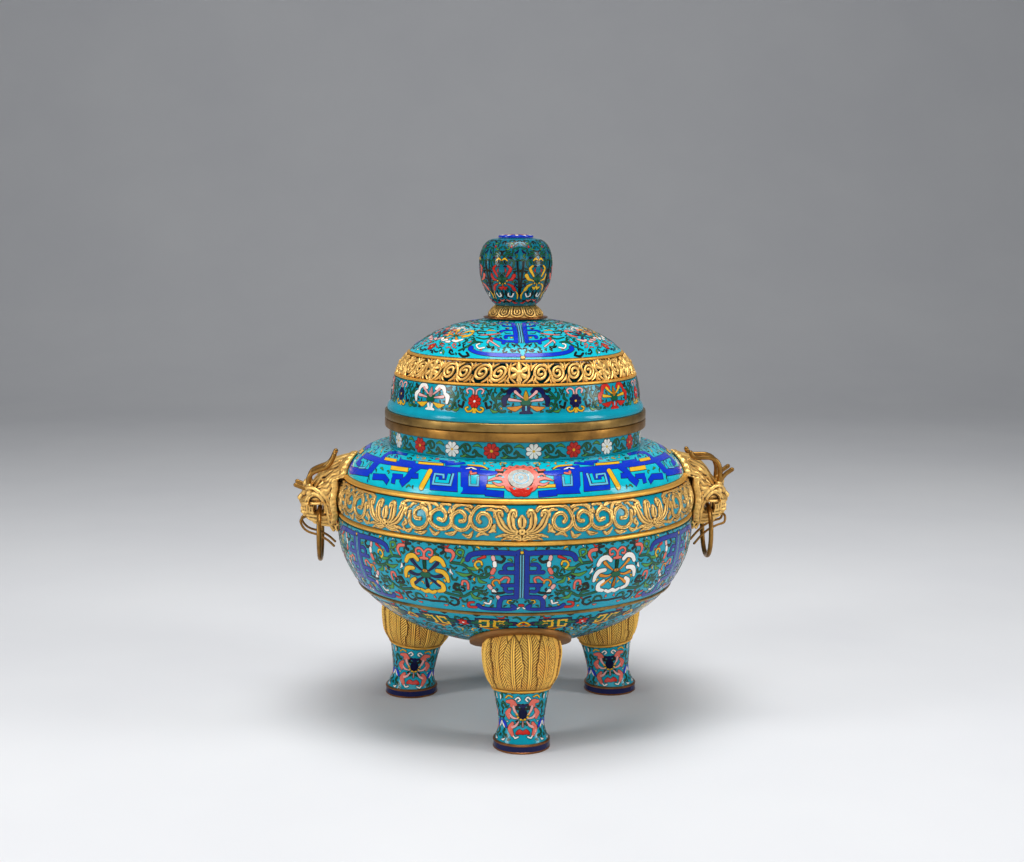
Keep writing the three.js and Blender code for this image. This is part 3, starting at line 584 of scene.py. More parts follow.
class Inlay:
    # collects the strokes of one wall into one mesh
    def __init__(self, wall):
        self.wall, self.verts, self.faces, self.looks, self.count = wall, [], [], [], 0
        self.ends, self.endLooks, self.taken = [], [], []

    def radius(self, v):
        return np.maximum(np.interp(v, self.wall["run"], self.wall["r"]), 8)

    def lay(self, left, right, turn, look, lift):
        across = 2 + int(np.linalg.norm(right - left, axis=1).max() / acrossStep)
        top = [(left * (1 - share) + right * share, lift) for share in np.linspace(0, 1, across)]
        rows = [spots(self.wall, turn + edge[:, 0] / self.radius(edge[:, 1]), edge[:, 1], height)
                for edge, height in top + [(right, -sunkBy), (left, -sunkBy)]]
        self.add(rows, look)

    def add(self, rows, look):
        # rows of points along a stroke, in turn round it, become one closed bar
        n, m = len(rows[0]), len(rows)
        self.verts.append(np.stack(rows, 1).reshape(-1, 3))
        base = self.count + m * np.arange(n - 1)[:, None]
        for a in range(m):
            b = (a + 1) % m
            self.faces.append(base + np.array([a, b, b + m, a + m]))
            self.looks.append(np.full(n - 1, look))
        last = self.count + m * (n - 1)
        self.ends += [list(range(self.count + m - 1, self.count - 1, -1)), list(range(last, last + m))]
        self.endLooks += [look, look]
        self.count += m * n

    def draw(self, strokes, turn, v=0.0, mirror=False, colours=None, lift=0.1, step=2.2):
        # each stroke is (colour, width or widths, points[, "sharp"]); colours translates its colour
        colours = colours or {}
        for i, (colour, width, points, *sharp) in enumerate(strokes):
            place = np.array(points, float)
            if mirror:
                place[:, 0] *= -1
            place[:, 1] += v
            colour = colours.get(colour, colour)
            height = lift + 0.0035 * i   # so that none lies level with the next
            left, right = strip(place, width, bool(sharp), wireWidth, step)
            self.lay(left, right, turn, lookNames.index("wire"), height)
            left, right = strip(place, width, bool(sharp), 0, step)
            middle = (left + right) / 2
            angle = turn + middle[:, 0] / self.radius(middle[:, 1])
            self.taken.append(np.c_[angle, middle[:, 1], np.linalg.norm(left - right, axis=1) / 2])
            self.lay(left, right, turn, lookNames.index(colour), height + 0.07)

    def both(self, strokes, turn, v=0.0, **rest):
        # as drawn and mirrored
        for mirror in (False, True):
            self.draw(strokes, turn, v, mirror, **rest)

    def fill(self, seed, turn, units, low, high, count, size=1.0, gap=0.75, shares=None):
        # small curls and leaves in the ground that is still free, mirrored in every unit
        draws = random.Random(seed)
        names, odds = zip(*(shares or fillColours).items())
        taken = np.vstack(self.taken)
        period = 2 * math.pi / units
        taken = taken[np.abs((taken[:, 0] - turn + math.pi) % (2 * math.pi) - math.pi) < 0.62 * period]
        for _ in range(count):
            angle, v = draws.uniform(midline, period / 2), draws.uniform(low, high)
            shape, width = draws.choice(fillShapes)
            grow = size * draws.uniform(0.75, 1.25)
            lean, flip = draws.uniform(0, 2 * math.pi), draws.choice((-1, 1))
            c, s = math.cos(lean), math.sin(lean)
            p = np.array(shape) * (grow, grow * flip) @ np.array([[c, s], [-s, c]]) + (0, v)
            path = curve(p)
            spot = np.c_[angle + path[:, 0] / self.radius(path[:, 1]), path[:, 1]]
            colour = draws.choices(names, odds)[0]
            if (path[:, 1].min() < low or path[:, 1].max() > high or spot[:, 0].min() < midline
                    or spot[:, 0].max() > period / 2 - midline):
                continue
            far = (taken[None, :, 0] - turn - spot[:, None, 0] + period / 2) % period - period / 2
            far = np.hypot(far * self.radius(v), taken[None, :, 1] - spot[:, None, 1]) - taken[None, :, 2]
            if far.min() < gap + 0.5 * max(width) * grow:
                continue
            fresh = len(self.taken)
            stroke = [(colour, tuple(w * grow for w in width), (p - (0, v)) + (angle * self.radius(v), 0))]
            for unit in range(units):
                self.both(stroke, turn + unit * period, v, lift=0.05, step=3.6)
            taken = np.vstack([taken] + self.taken[fresh:fresh + 2])

    def rod(self, points, width, turn, lift=0.0, tall=1.2, stretch=1.0):
        # a closed rounded bar that follows the wall
        left, right = strip(np.array(points, float) * (1, stretch), np.array(width, float) * 2)
        middle, half = (left + right) / 2, (right - left) / 2
        rows = []
        for a in circle(8):
            edge = middle - half * math.cos(a)
            rows.append(spots(self.wall, turn + edge[:, 0] / self.radius(edge[:, 1]), edge[:, 1],
                              lift + tall * math.sin(a)))
        self.add(rows, 0)

    def finish(self, name, body, slot=None, nodes=(), metal=None, place=None):
        points = np.vstack(self.verts)
        if place is not None:
            points = moved(place, points)
        piece = fromData(name, points, np.vstack(self.faces).tolist() + self.ends)
        for look in [metal] if metal else enamels.values():
            piece.data.materials.append(look)
        looks = np.concatenate(self.looks + [np.array(self.endLooks)])
        piece.data.polygons.foreach_set("material_index", looks)
        print(name, len(points), "points")
        if metal:
            # metal inlay gets grime and painted shade in its creases
            markHollows(piece, 0.12)
        settle(piece, None, body, nodes, 50 if metal else 35)


lookNames = list(enamels)

# the bowl under the moulding: green panels with angular scroll pairs, navy borders and red flowers
bowlPanels = [
    ("navy", 6.4, [(8, 76), (47, 76)]), ("navy", 15, [(13, 76), (42, 76)], "sharp"),
    ("green", 12.6, [(13.5, 76), (41.5, 76)], "sharp"), ("green", 4, [(11, 76), (44, 76)]),
    ("yellow", 2.3, [(21.6, 69.4), (25, 70.6), (25, 80.2), (16.8, 80.2), (17, 75.4), (20.8, 75.8)], "sharp"),
    ("yellow", 2.3, [(37.6, 77), (37.6, 80.2), (30.4, 80.2), (30.4, 70.4), (36.8, 69.6), (37.4, 74)],
     "sharp"),
    ("orange", (1, 2.2, 0.8), [(21, 67.4), (27.5, 66), (34, 67.4)]),
]
bowlPanelFlower = [
    ("red", (1.2, 3.4, 1.6), [(0, 75.4), (3.4, 78.6)]), ("red", (1.2, 3.4, 1.6), [(0, 75.4), (4, 73)]),
    ("red", 2.8, [(0, 75.4), (0, 79.6)]),
    ("red", 2.4, [(0, 75.4), (0, 71.4)]), ("white", 1.7, [(0, 75.2), (0.3, 75.4)]),
    ("black", (0.9, 1.3), [(1.6, 69.6), (4.6, 67.6), (6, 70.4)]),
    ("green", (0.9, 1.4), [(1.4, 82), (4.8, 83.4), (6, 80.4)]),
]
bowlFront = [("yellow", (1, 2.2, 1), [(0, 79.6), (2.4, 78), (5.2, 74.6)]),
             ("orange", (1, 2.6, 1), [(0, 73.6), (3.4, 72.6), (6, 75)]),
             ("red", 1.8, [(0, 76.4), (0.3, 76.5)])]


# the bowl's wall: a pair of hooked stems every 60 degrees, with scrolls and a lotus between them
# the stems' cobalt is darkened as painted shade
bowlStem = [
    ("deepCobalt", 3.9, [(4.2, 17), (4.2, 55), (4.8, 57.6), (24, 58.4), (38, 57.2), (44, 55), (46, 51.6)]),
    ("deepCobalt", 3.9, [(4.2, 17.6), (14.5, 16.8), (18, 13), (18.6, 5)]),
    ("deepCobalt", 3.4, [(7.4, 7.8), (5.2, 5.4), (9, 3.2), (25, 3.2), (33, 4.2), (36.5, 7.4)]),
    ("deepCobalt", 3.2, [(4.2, 41.3), (17.9, 41.3)]),
    ("deepCobalt", 2.8, [(13, 41.8), (14.6, 45.5), (12, 48.3), (8.2, 48.2)]),
    ("deepCobalt", 3.2, [(4.2, 29.5), (16, 29.5)]),
    ("deepCobalt", 2.8, [(12.6, 29), (14, 25.6), (11.6, 23), (8.2, 23.4)]),
    ("paleBlue", 0.9, [(1.1, 17), (1.1, 56)]), ("yellow", 1.8, [(0.2, 58.4), (0.4, 58.8)]),
    ("red", 2.4, [(0, 8.4), (1.2, 8.2)]), ("white", 1.3, [(1.6, 5.6), (3, 4.2)]),
]
bowlScrolls = [
    ("green", 1.9, [(60.4, 48), (50.7, 47.2), (45.4, 44), (42.4, 39.4), (37.2, 37.1), (31.1, 36.3),
                    (27, 39.7)]),
    ("green", 1.9, [(66.1, 18.8), (58.3, 17.2), (49.6, 16.2), (43, 20.6), (37.6, 23.4), (33.6, 20.7)]),
    ("black", 1.5, [(60.8, 14), (55.3, 12.3), (53.9, 7.6), (58, 4.9), (63.4, 7.8), (71.6, 8), (80.1, 7.4)]),
    ("green", (1.6, 1.1), [(63.4, 7.8), (65.3, 13), (69.9, 13.7), (71.9, 10.7)]),
    ("leaf", (0.6, 3.4, 0.6), [(46, 44.6), (40, 43.6), (33.5, 46)]),
    ("leaf", (0.6, 3, 0.6), [(42.4, 39), (49, 37.4), (56, 40)]),
    ("leaf", (0.6, 2.8, 0.5), [(52, 47.4), (48.6, 51.6), (44.4, 50.6)]),
    ("leaf", (0.6, 3, 0.5), [(37, 36.6), (34.8, 32.4), (29.6, 31.4)]),
    ("leaf", (0.6, 3.2, 0.6), [(43, 20.6), (39.4, 15.6), (34, 15.6)]),
    ("green", (0.6, 2.6, 0.6), [(50, 16), (53, 20.4), (59, 20.4)]),
    ("black", (1.9, 1.2), [(22.6, 51.2), (17, 50.2), (14.4, 53.4), (16.8, 55.2)]),
    ("green", (1.4, 1), [(29.6, 39.6), (30.6, 44.4), (27.2, 46), (25.6, 43.4)]),
    ("pink", 3, [(24.2, 54.4), (23.8, 52.6)]), ("white", 3.2, [(22.8, 49.4), (22.6, 47.2)]),
    ("coral", 3.4, [(23.4, 43.6), (24.8, 40.8)]),
    ("red", (2.2, 1), [(31.2, 54.6), (37.4, 52.2)]),
    ("yellow", 1.5, [(33.5, 47.8), (34.4, 50.3), (38, 50.1), (39.6, 46.9), (37.1, 44)]),
    ("coral", 1.7, [(11.6, 32.1), (10.6, 35.6), (14, 37), (18.1, 33.8)]),
    ("orange", 1.4, [(18.6, 31.4), (19.6, 34), (23.1, 34), (24.6, 31.1), (23.2, 28.9)]),
    ("pink", 3.2, [(27.2, 28.4), (26, 26.6)]), ("white", 3, [(23.6, 23.9), (22.4, 22)]),
    ("pink", 2.8, [(20, 17.8), (19, 16)]),
    ("black", (1.9, 1.1), [(24, 21.6), (17.4, 21.4), (13.4, 23), (12.6, 26.4), (15.2, 27.4)]),
    ("black", (1.2, 1.8), [(51.5, 22.6), (57.9, 24), (56.6, 28.6), (53.4, 27.8)]),
    ("white", 1.5, [(31, 10.6), (26.8, 9.6), (25.6, 13.2)]),
    ("red", (1.8, 2.2, 2.6), [(40.6, 10.4), (44.6, 9.4), (44.3, 4.8), (38.4, 4.6)]),
    ("coral", 1.8, [(50.6, 28.4), (50, 31.7), (46.8, 31.8), (45.3, 28.7), (45.2, 24.6)]),
    ("leaf", 1.5, [(50.4, 54.2), (49.6, 58.6), (54, 59.6), (55.6, 56.6), (52.4, 54.4)]),
    ("coral", (2.6, 2.8, 1), [(64.9, 58.4), (59.6, 57.6), (58, 54), (60.8, 49.1)]),
    ("black", (1.4, 1.9), [(71.8, 60.6), (67.6, 60), (66.8, 57), (69.4, 55.2)]),
    ("yellow", 1.5, [(49.2, 5), (49.8, 5.2)]),
]
bowlLotus = [
    ("coral", 1.7, [(0.6, 49), (-0.4, 54.6), (-4.2, 57.8), (-8, 56.4), (-7.4, 52.8), (-4.8, 53)]),
    ("heart", (0.8, 2.8), [(-3.6, 38.6), (-8, 42), (-12.4, 46.2)]),
    ("heart", (0.8, 2.8), [(-4, 35), (-9, 33.6), (-15, 35)]),
    ("heart", (0.8, 2.8), [(-3.2, 31.6), (-7.4, 29), (-12, 25.6)]), ("heart", (1.2, 3), [(0, 31), (0, 23.6)]),
    ("petal", (3.4, 4.4, 3.2), [(-18.6, 45), (-16, 49.2), (-10.6, 50.6), (-6.6, 47.6)]),
    ("petal", (3.2, 4.4, 2.8), [(-11.6, 39.6), (-17, 38.8), (-20, 35.4), (-20.8, 30.6)]),
    ("petal", (3, 4.2, 3), [(-11.4, 29.4), (-15.2, 26.4), (-14.6, 21.4), (-10, 19.6)]),
    ("petal", (2.6, 3.8), [(-7, 19.4), (-3.4, 17.6), (0, 19.2)]),
    ("coral", 2, [(-3.4, 49.4), (0, 49.8)]), ("green", (3.2, 2), [(0, 46.4), (0, 38.6)]),
    ("green", 4.6, [(-2.6, 34.6), (0, 34.4)]),
    ("orange", 2.2, [(-1.2, 38.4), (0, 38.2)]),
]


def makeBowlInlay():
    wall = wallOf(bowlLine()[4:])
    low = float(np.interp(128.8, wall["z"], wall["run"]))
    inlay, scrolls = Inlay(wall), Inlay(wall)
    for k in range(6):
        turn = starts["bowl"] + math.radians(60 * k)
        lotus = [{"heart": "orange", "petal": "white"}, {"heart": "navy", "petal": "yellow"}][k % 2]
        scrolls.both(bowlScrolls, turn, low, lift=0.08)
        inlay.both(bowlStem, turn, low, lift=0.2)
        inlay.both(bowlLotus, turn + math.radians(30), low, colours=lotus, lift=0.26)
    scrolls.taken += inlay.taken
    scrolls.fill(3, starts["bowl"], 6, low + 3, low + 73, 3400, 1.05, gap=0.35)
    inlay.finish("bowl_inlay", "vessel", "cobalt_enamel")
    scrolls.finish("bowl_scroll_inlay", "vessel", "turquoise_enamel")
    inlay = Inlay(wall)
    for k in range(8):
        turn = math.radians(45 * k)
        inlay.both(bowlPanels, turn, low - 94, lift=0.08)
        inlay.both(bowlPanelFlower, turn + math.radians(22.5), low - 94, lift=0.2)
        inlay.both(bowlFront, turn, low - 94, lift=0.2)
    inlay.fill(4, 0, 8, low - 92, low - 5, 1200, 1.15, gap=0.4)
    inlay.finish("bowl_panel_inlay", "vessel", "cobalt_enamel")


# the shoulder: two pairs of cobalt fret dragons that face a white jewel in flames
dragonBody = [
    ("cobalt", 5.2, [(14.6, 3.4), (30, 4.4)], "sharp"),
    ("cobalt", 5.6, [(58, 38.2), (62, 38.6), (72, 38.4)], "sharp"),
    ("cobalt", 4.2, [(48, 38.6), (56, 36), (66, 33.6)], "sharp"),
    ("cobalt", 5, [(98, 30.4), (118, 29.8)], "sharp"),
    ("cobalt", 5.6, [(112, 43), (128, 42.6), (140, 38), (147, 24), (156, 11)], "sharp"),
    ("cobalt", 6, [(35, 26.4), (56, 27.4), (96, 27), (150, 25), (188, 24)], "sharp"),
    ("cobalt", 6.6, [(31.6, 21), (31.6, 6.4), (47.6, 6.2), (47.8, 24)], "sharp"),
    ("cobalt", 21, [(54.4, 14.6), (79.6, 14.6)], "sharp"),
    ("cobalt", 6, [(93, 26), (99, 20), (104, 11.6), (111, 6)], "sharp"),
    ("cobalt", 5, [(99, 15), (92.6, 15.6)], "sharp"),
    ("cobalt", 4.6, [(109.6, 12.6), (120, 12), (120.4, 5.4)], "sharp"),
    ("cobalt", 5.2, [(127, 5.6), (133, 9.4), (150, 7.6)], "sharp"),
    ("cobalt", 6, [(150, 24), (160, 9.4), (184, 7.6), (206, 5), (216, 12)], "sharp"),
    ("cobalt", 5, [(186, 24), (194, 15), (182, 14.4)], "sharp"),
    ("cobalt", 5.2, [(200, 30), (226, 29.6)], "sharp"),
    ("cobalt", (2.2, 6.4, 6), [(17.6, 25.8), (26, 24.4), (36, 25.4)]),
    ("cobalt", (1.4, 3.6), [(27.4, 31), (36, 31), (50, 32)]),
]
dragonLines = [
    ("yellow", 2.6, [(13.4, 10.2), (29, 10.6)], "sharp"), ("yellow", 3, [(68, 32.6), (94, 31.4)], "sharp"),
    ("paleBlue", 1.2, [(70, 35.4), (100, 35)], "sharp"), ("yellow", 4.4, [(104.4, 20.6), (126, 20)], "sharp"),
    ("yellow", 3.6, [(121.8, 29.4), (140, 28.6)], "sharp"),
    ("paleBlue", 1.5, [(35.8, 19.6), (36.4, 10.6), (43.4, 10.6), (43.6, 20)], "sharp"),
    ("paleBlue", 1.7, [(58, 21.6), (60.6, 9.6), (77, 9.6), (75.4, 19.6), (67.2, 19.4), (67, 15.4)], "sharp"),
    ("turquoise", 2.6, [(61.6, 20.8), (63.4, 12.4), (73.6, 12.4), (72.8, 16.4)], "sharp"),
    ("yellow", 4.4, [(80.4, 22.6), (84, 13.6), (88.4, 5)]),
    ("paleBlue", 1.4, [(164, 20.6), (168, 13), (182, 11)], "sharp"),
    ("yellow", 4, [(204, 24), (222, 22)], "sharp"),
    ("yellow", (1.2, 2.8, 1.4), [(28, 29.6), (32, 33.4), (38, 34.4), (45, 34.6)]),
    ("white", (0.8, 2.6, 0.8), [(37.6, 28.6), (42, 30.2), (46.6, 29)]),
    ("black", 1.4, [(41.6, 29.4), (42.6, 29.5)]), ("coral", 2, [(38, 23.6), (42, 22.6), (42.4, 25.2)]),
    ("black", 2.2, [(15.6, 26), (18.4, 26)]),
]
jewelFlame = [
    ("coral", 1.9, [(0, 33.4), (3, 35.6), (5.4, 32.6), (8.8, 34), (10.6, 30.8), (14.6, 32), (15.6, 28),
                    (20, 28.6)]),
    ("coral", (3, 4.6, 5, 4.4), [(0, 31), (7, 29.6), (12, 24), (13.6, 16)]),
    ("coral", (4.4, 5, 5), [(13.4, 17), (10, 9), (0, 6.4)]),
    ("coral", (4, 3, 0.8), [(13, 17), (20, 18.4), (27, 15.6)]),
    ("coral", (3, 2.2, 0.8), [(13.4, 13), (19, 11.6), (23.4, 14)]),
    ("red", (7, 5, 1.2), [(0, 5.6), (4.4, 4.6), (9.6, 8.8)]),
    ("coral", (2.4, 2, 0.8), [(14, 22), (18, 23.4), (20.6, 20.8)]),
    ("turquoise", 1.7, [(5.4, 8.2), (6, 8.4)]), ("turquoise", 1.6, [(14.6, 19.6), (15.4, 19.8)]),
    ("white", 21, [(-0.4, 19), (0.4, 19)]),
    ("paleBlue", (0.9, 0.9), [(0.2, 25), (4.6, 23.4), (6.4, 19), (4.6, 14.8), (0.2, 13)]),
    ("black", 0.8, [(2, 27), (2.8, 27)]), ("paleBlue", 0.9, [(0.2, 21), (1.8, 19.4), (0.2, 17.4)]),
]


def makeShoulderInlay():
    inlay = Inlay(wallOf(shoulderLine()))
    for side in (0, math.pi):
        turn = starts["shoulder"] + side
        for strokes, lift in ((dragonBody, 0.06), (dragonLines, 0.22), (jewelFlame, 0.34)):
            inlay.both(strokes, turn, lift=lift)
    inlay.fill(8, starts["shoulder"], 2, 2, 47, 1500, 0.9, gap=0.8,
               shares={"green": 5, "yellow": 2, "cobalt": 3, "coral": 1, "leaf": 2})
    inlay.finish("shoulder_inlay", "vessel", "cobalt_enamel")


# small round flowers, used on the neck and the lid
def daisy(radius, petal, heart, count=8, start=0.0):
    strokes = []
    for k in range(count):
        a = start + 2 * math.pi * k / count
        c, s = math.cos(a), math.sin(a)
        wide = 2 * math.pi * radius * 0.66 / count
        strokes.append((petal, (wide * 0.3, wide * 0.9, wide),
                        [(0.22 * radius * c, 0.22 * radius * s), (0.74 * radius * c, 0.74 * radius * s)]))
    return strokes + [(heart, radius * 0.34, [(-0.1, 0), (0.1, 0)])]


neckScroll = [
    ("green", (1.2, 1), [(7.4, 1), (11, 4.4), (15, 5), (17.6, 2), (15.6, -1), (13, 0.6)]),
    ("green", (1, 2.8, 0.8), [(9.6, 3.4), (12.4, 2.6), (13.6, -1.4)]),
    ("green", (0.8, 2.6, 0.8), [(17.8, -5.6), (13, -4.6), (10, -1)]),
    ("green", (1.2, 1), [(17.8, -5.8), (21.4, -5.2), (23.6, -2.4), (21.4, 0), (19.6, -2.2)]),
    ("leaf", (0.6, 2, 0.6), [(20, 3.6), (24, 5), (27.6, 2.8)]),
    ("green", (0.8, 2.4, 0.8), [(21.4, 0.4), (24, -3.4), (28.4, -5)]),
    ("leaf", (0.6, 1.8, 0.6), [(8.4, -5.6), (11.6, -5.4), (13.6, -4)]),
]


def makeNeckInlay():
    inlay = Inlay(wallOf([(vessel["neck"], 254.7), (vessel["neck"], 269)]))
    for k in range(20):
        turn = starts["neck"] + math.radians(18 * k)
        inlay.draw(neckScroll, turn, 6.6, lift=0.08)
        inlay.draw(daisy(6.9, *(("white", "yellow"), ("red", "yellow"))[k % 2], start=0.39), turn, 6.6,
                   lift=0.14)
    inlay.fill(7, starts["neck"], 10, 1, 13.2, 200, 0.6, shares={"green": 4, "black": 1})
    inlay.finish("neck_inlay", "vessel", "turquoise_enamel")


bandLotus = [
    ("cap", (2.6, 4.4, 2.8), [(5.4, 8), (9, 10.6), (13, 9.4), (15, 6)]),
    ("cap", (2.6, 4.4, 2.6), [(15, 4.6), (18.6, 1.6), (18.2, -3.4)]),
    ("wedge", (0.8, 2.6), [(2.4, 2.6), (6, 5.2), (9, 8)]),
    ("wedge", (0.8, 2.6), [(3.4, 0), (9, 0.8), (14, 1.4)]),
    ("leafy", (1, 4.2, 1), [(4, -4.4), (9.6, -6.6), (15.6, -5.6)]),
    ("cap", (3.6, 2), [(0, -9.4), (4.4, -10.4)]),
    ("cap", 2.4, [(2.2, -5.8), (1.8, -8)]), ("green", 4, [(-2.4, -1.4), (0, -1.2)]),
    ("bud", (4.4, 3.4, 0.8), [(0, 2.6), (0, 5.4), (0, 8.8)]),
    ("green", 1.8, [(2.6, 1.6), (4, 1)]), ("paleBlue", 1, [(0.2, -4.4), (0.2, -7.6)]),
]
bandScroll = [
    ("green", (1.4, 1.1), [(18, -8), (21.6, -8.6), (25, -5), (22, -1.4), (19.4, -3.6)]),
    ("green", (1.1, 1.5), [(25, -5), (25.8, 1.6), (22.6, 6.4), (18.6, 9.6)]),
    ("green", (0.8, 2.6, 0.8), [(24.8, 3), (21.4, 3.2), (19.6, 5.2)]),
    ("green", (0.8, 2.4, 0.8), [(25.4, 0), (28.6, 3.6), (28, 7.4)]),
    ("black", (1, 1.7), [(15.6, 9.8), (18.4, 8.4), (20.6, 10.6)]),
    ("black", (1, 1.7), [(30, -4), (33.4, -5.6), (34.6, -1.6)]),
    ("leaf", (0.6, 2, 0.6), [(24, -8.4), (28, -8.6), (30.6, -6)]),
]
bandFlowerCurls = [
    ("pink", 1.3, [(1.2, 5.6), (1.6, 9), (4.8, 10.6), (7.6, 9), (6.4, 6.6)]),
    ("yellow", 1.3, [(1, -6), (2.6, -8.6), (6.2, -9.4), (8.2, -6.8), (5.8, -5.6)]),
    ("yellow", (1, 1.6), [(0.6, -7), (0.8, -10)]), ("green", (0.8, 2, 0.8), [(8, 0), (11, 2.6), (10.4, 6)]),
]


def makeBandInlay():
    inlay = Inlay(wallOf(bandLine()))
    looks = [{"cap": "navy", "wedge": "pink", "bud": "yellow", "leafy": "orange"},
             {"cap": "red", "wedge": "yellow", "bud": "orange", "leafy": "red"},
             {"cap": "coral", "wedge": "white", "bud": "navy", "leafy": "green"},
             {"cap": "white", "wedge": "pink", "bud": "pink", "leafy": "yellow"}]
    for k in range(8):
        turn = starts["band"] + math.radians(45 * k)
        inlay.both(bandScroll, turn, 10.4, lift=0.08)
        inlay.both(bandFlowerCurls, turn + math.radians(22.5), 10.6, lift=0.12)
        inlay.both(bandLotus, turn, 11, colours=looks[k % 4], lift=0.16)
        inlay.draw(daisy(5.7, *(("navy", "yellow"), ("red", "white"))[k % 2], start=0.39),
                   turn + math.radians(22.5), 10.2, lift=0.2)
    inlay.fill(5, starts["band"], 8, 1.2, 22, 900, 0.75, gap=0.45)
    inlay.finish("lid_band_inlay", "lid", "turquoise_enamel")


# the dome: three pairs of hooked stems over long curved bars, with two lotuses between
domeStem = [
    ("cobalt", 3.4, [(4.6, 21.4), (4.2, 44), (5, 67)]), ("cobalt", 2.8, [(5, 66), (14, 67), (17.6, 64)]),
    ("cobalt", 2.6, [(4.6, 55), (13, 55.4), (13.8, 58.4)]),
    ("cobalt", 2.8, [(4.6, 44.6), (15, 43.6), (17, 40.4)]),
    ("cobalt", 2.8, [(4.6, 33), (12.6, 32.6), (13.4, 28.6)]),
    ("cobalt", 3, [(5, 22.6), (15, 23.4), (22.6, 26.8)]), ("cobalt", 3, [(15, 23.4), (16, 20)]),
    ("paleBlue", 0.9, [(0.9, 21), (0.9, 66)]),
    ("cobalt", (4, 4, 3.6), [(3.6, 4.4), (25, 4.6), (40, 6.6), (46.6, 10.2), (45.4, 13)]),
    ("yellow", 3, [(0, 1.6), (0.4, 1.7)]), ("yellow", 1.3, [(8, 29), (8.8, 29)]),
    ("orange", 1.3, [(10, 50), (10.8, 50)]),
]
domeScrolls = [
    ("pink", 1.5, [(20, 15), (24.6, 20), (28.6, 24), (30, 20)]),
    ("coral", (1, 2.2, 1), [(18, 37), (26, 34.4), (36, 32.6)]),
    ("white", 1.5, [(33.3, 13.2), (38.6, 12), (40.4, 16.4), (37.6, 18.4)]),
    ("black", 1.6, [(50, 6), (48.4, 2.8), (54, 1.4), (57.6, 4.4)]),
    ("green", 1.4, [(40, 28), (33, 26), (27, 29.4), (29, 33)]),
    ("green", (0.8, 2.4, 0.8), [(31, 40), (37, 41), (42, 38.6)]),
    ("green", 1.3, [(58, 8), (52, 12), (46, 17), (42, 23.4)]),
    ("leaf", (0.6, 2.4, 0.6), [(50, 13.6), (46, 11.4), (42, 9.6)]),
    ("green", (0.8, 2.4, 0.8), [(45, 18), (40, 21), (35, 20.6)]),
    ("red", (1, 2, 1), [(21, 27), (26.4, 27.6), (26, 23.6)]),
    ("green", 1.3, [(24, 48), (30, 50), (36, 47.6), (34, 44.4)]),
    ("yellow", (0.8, 1.8, 0.8), [(22, 42), (26.6, 43.6), (30, 42)]),
    ("green", (0.8, 2.2, 0.8), [(20, 55), (26, 56), (30, 53)]),
    ("leaf", (0.6, 2, 0.6), [(28, 62), (33, 60), (36, 55)]),
    ("black", 1.3, [(40, 50), (44, 48), (45, 52)]),
    ("green", 1.2, [(50, 46), (56, 50), (62, 48), (60, 44.4)]),
    ("coral", (0.8, 1.8, 0.8), [(46, 58), (50, 60), (54, 57)]),
    ("green", (0.8, 2, 0.8), [(40, 62), (46, 64), (52, 62)]),
]
domeLotus = [
    ("low", (2.6, 4, 2.4), [(4, -8), (9, -8.6), (13, -6)]),
    ("cap", (2.4, 3.8, 2.2), [(10, -1.6), (14, 1.4), (14.4, 5.4)]),
    ("cap", (2.4, 3.8, 2.4), [(5, 8), (8.6, 10.6), (12.6, 8.6)]), ("wedge", (1, 2.4), [(2, 2), (6.4, 7)]),
    ("wedge", (1, 2.4), [(3, 0), (10, 1.6)]),
    ("wedge", (1, 2.4), [(2, -2), (7, -6.6)]), ("low", (3.4, 2.4), [(0, -10.4), (2, -10.8)]),
    ("green", 3.6, [(-1.6, 0), (0, 0)]),
    ("bud", (3.4, 1), [(0, 3.4), (0, 8.6)]), ("white", 1.2, [(1, 10), (1.6, 13.6), (5, 14.6)]),
    ("green", (0.8, 1.6, 0.8), [(15, -4), (19, -7), (18, -11)]),
]


def makeDomeInlay():
    inlay = Inlay(wallOf(domeLine()[:-3]))
    looks = [{"cap": "coral", "wedge": "navy", "low": "pink", "bud": "red"},
             {"cap": "yellow", "wedge": "orange", "low": "white", "bud": "pink"}]
    for k in range(3):
        turn = starts["dome"] + math.radians(120 * k)
        inlay.both(domeScrolls, turn, lift=0.08)
        inlay.both(domeStem, turn, lift=0.16)
        for angle, colours in ((50, looks[0]), (-50, looks[1])):
            inlay.both(domeLotus, turn + math.radians(angle), 29, colours=colours, lift=0.2)
        inlay.draw(daisy(4.2, "white", "red"), turn + math.radians(60), 44, lift=0.2)
        inlay.draw(daisy(4.4, "red", "yellow"), turn + math.radians(60), 10, lift=0.2)
    inlay.fill(6, starts["dome"], 3, 1.5, 80, 2600, 0.9, gap=0.5)
    inlay.finish("dome_inlay", "lid", "turquoise_enamel")


# Gilt relief: height fields over turned walls


def heights(u, v, strokes, groove=0.3):
    # height above the ground, from strokes (tallness, half width or widths, points)
    high = np.zeros(u.shape)
    for tall, wide, points in strokes:
        line = curve(points, 1.3)
        wide = spread(wide, runOf(line))
        most = wide.max()
        near = np.nonzero((u > line[:, 0].min() - most) & (u < line[:, 0].max() + most)
                          & (v > line[:, 1].min() - most) & (v < line[:, 1].max() + most))
        x, y = u[near], v[near]
        share = np.full(x.shape, 1.0)
        for a, b, wa, wb in zip(line, line[1:], wide, wide[1:]):
            step = b - a
            t = np.clip(((x - a[0]) * step[0] + (y - a[1]) * step[1]) / max(step @ step, 1e-9), 0, 1)
            far = np.hypot(x - a[0] - t * step[0], y - a[1] - t * step[1])
            share = np.minimum(share, far / (wa + t * (wb - wa)))
        form = tall * np.sqrt(1 - share ** 2) * (1 - groove * np.exp(-(share / 0.28) ** 2))
        high[near] = np.maximum(high[near], form)
    return high


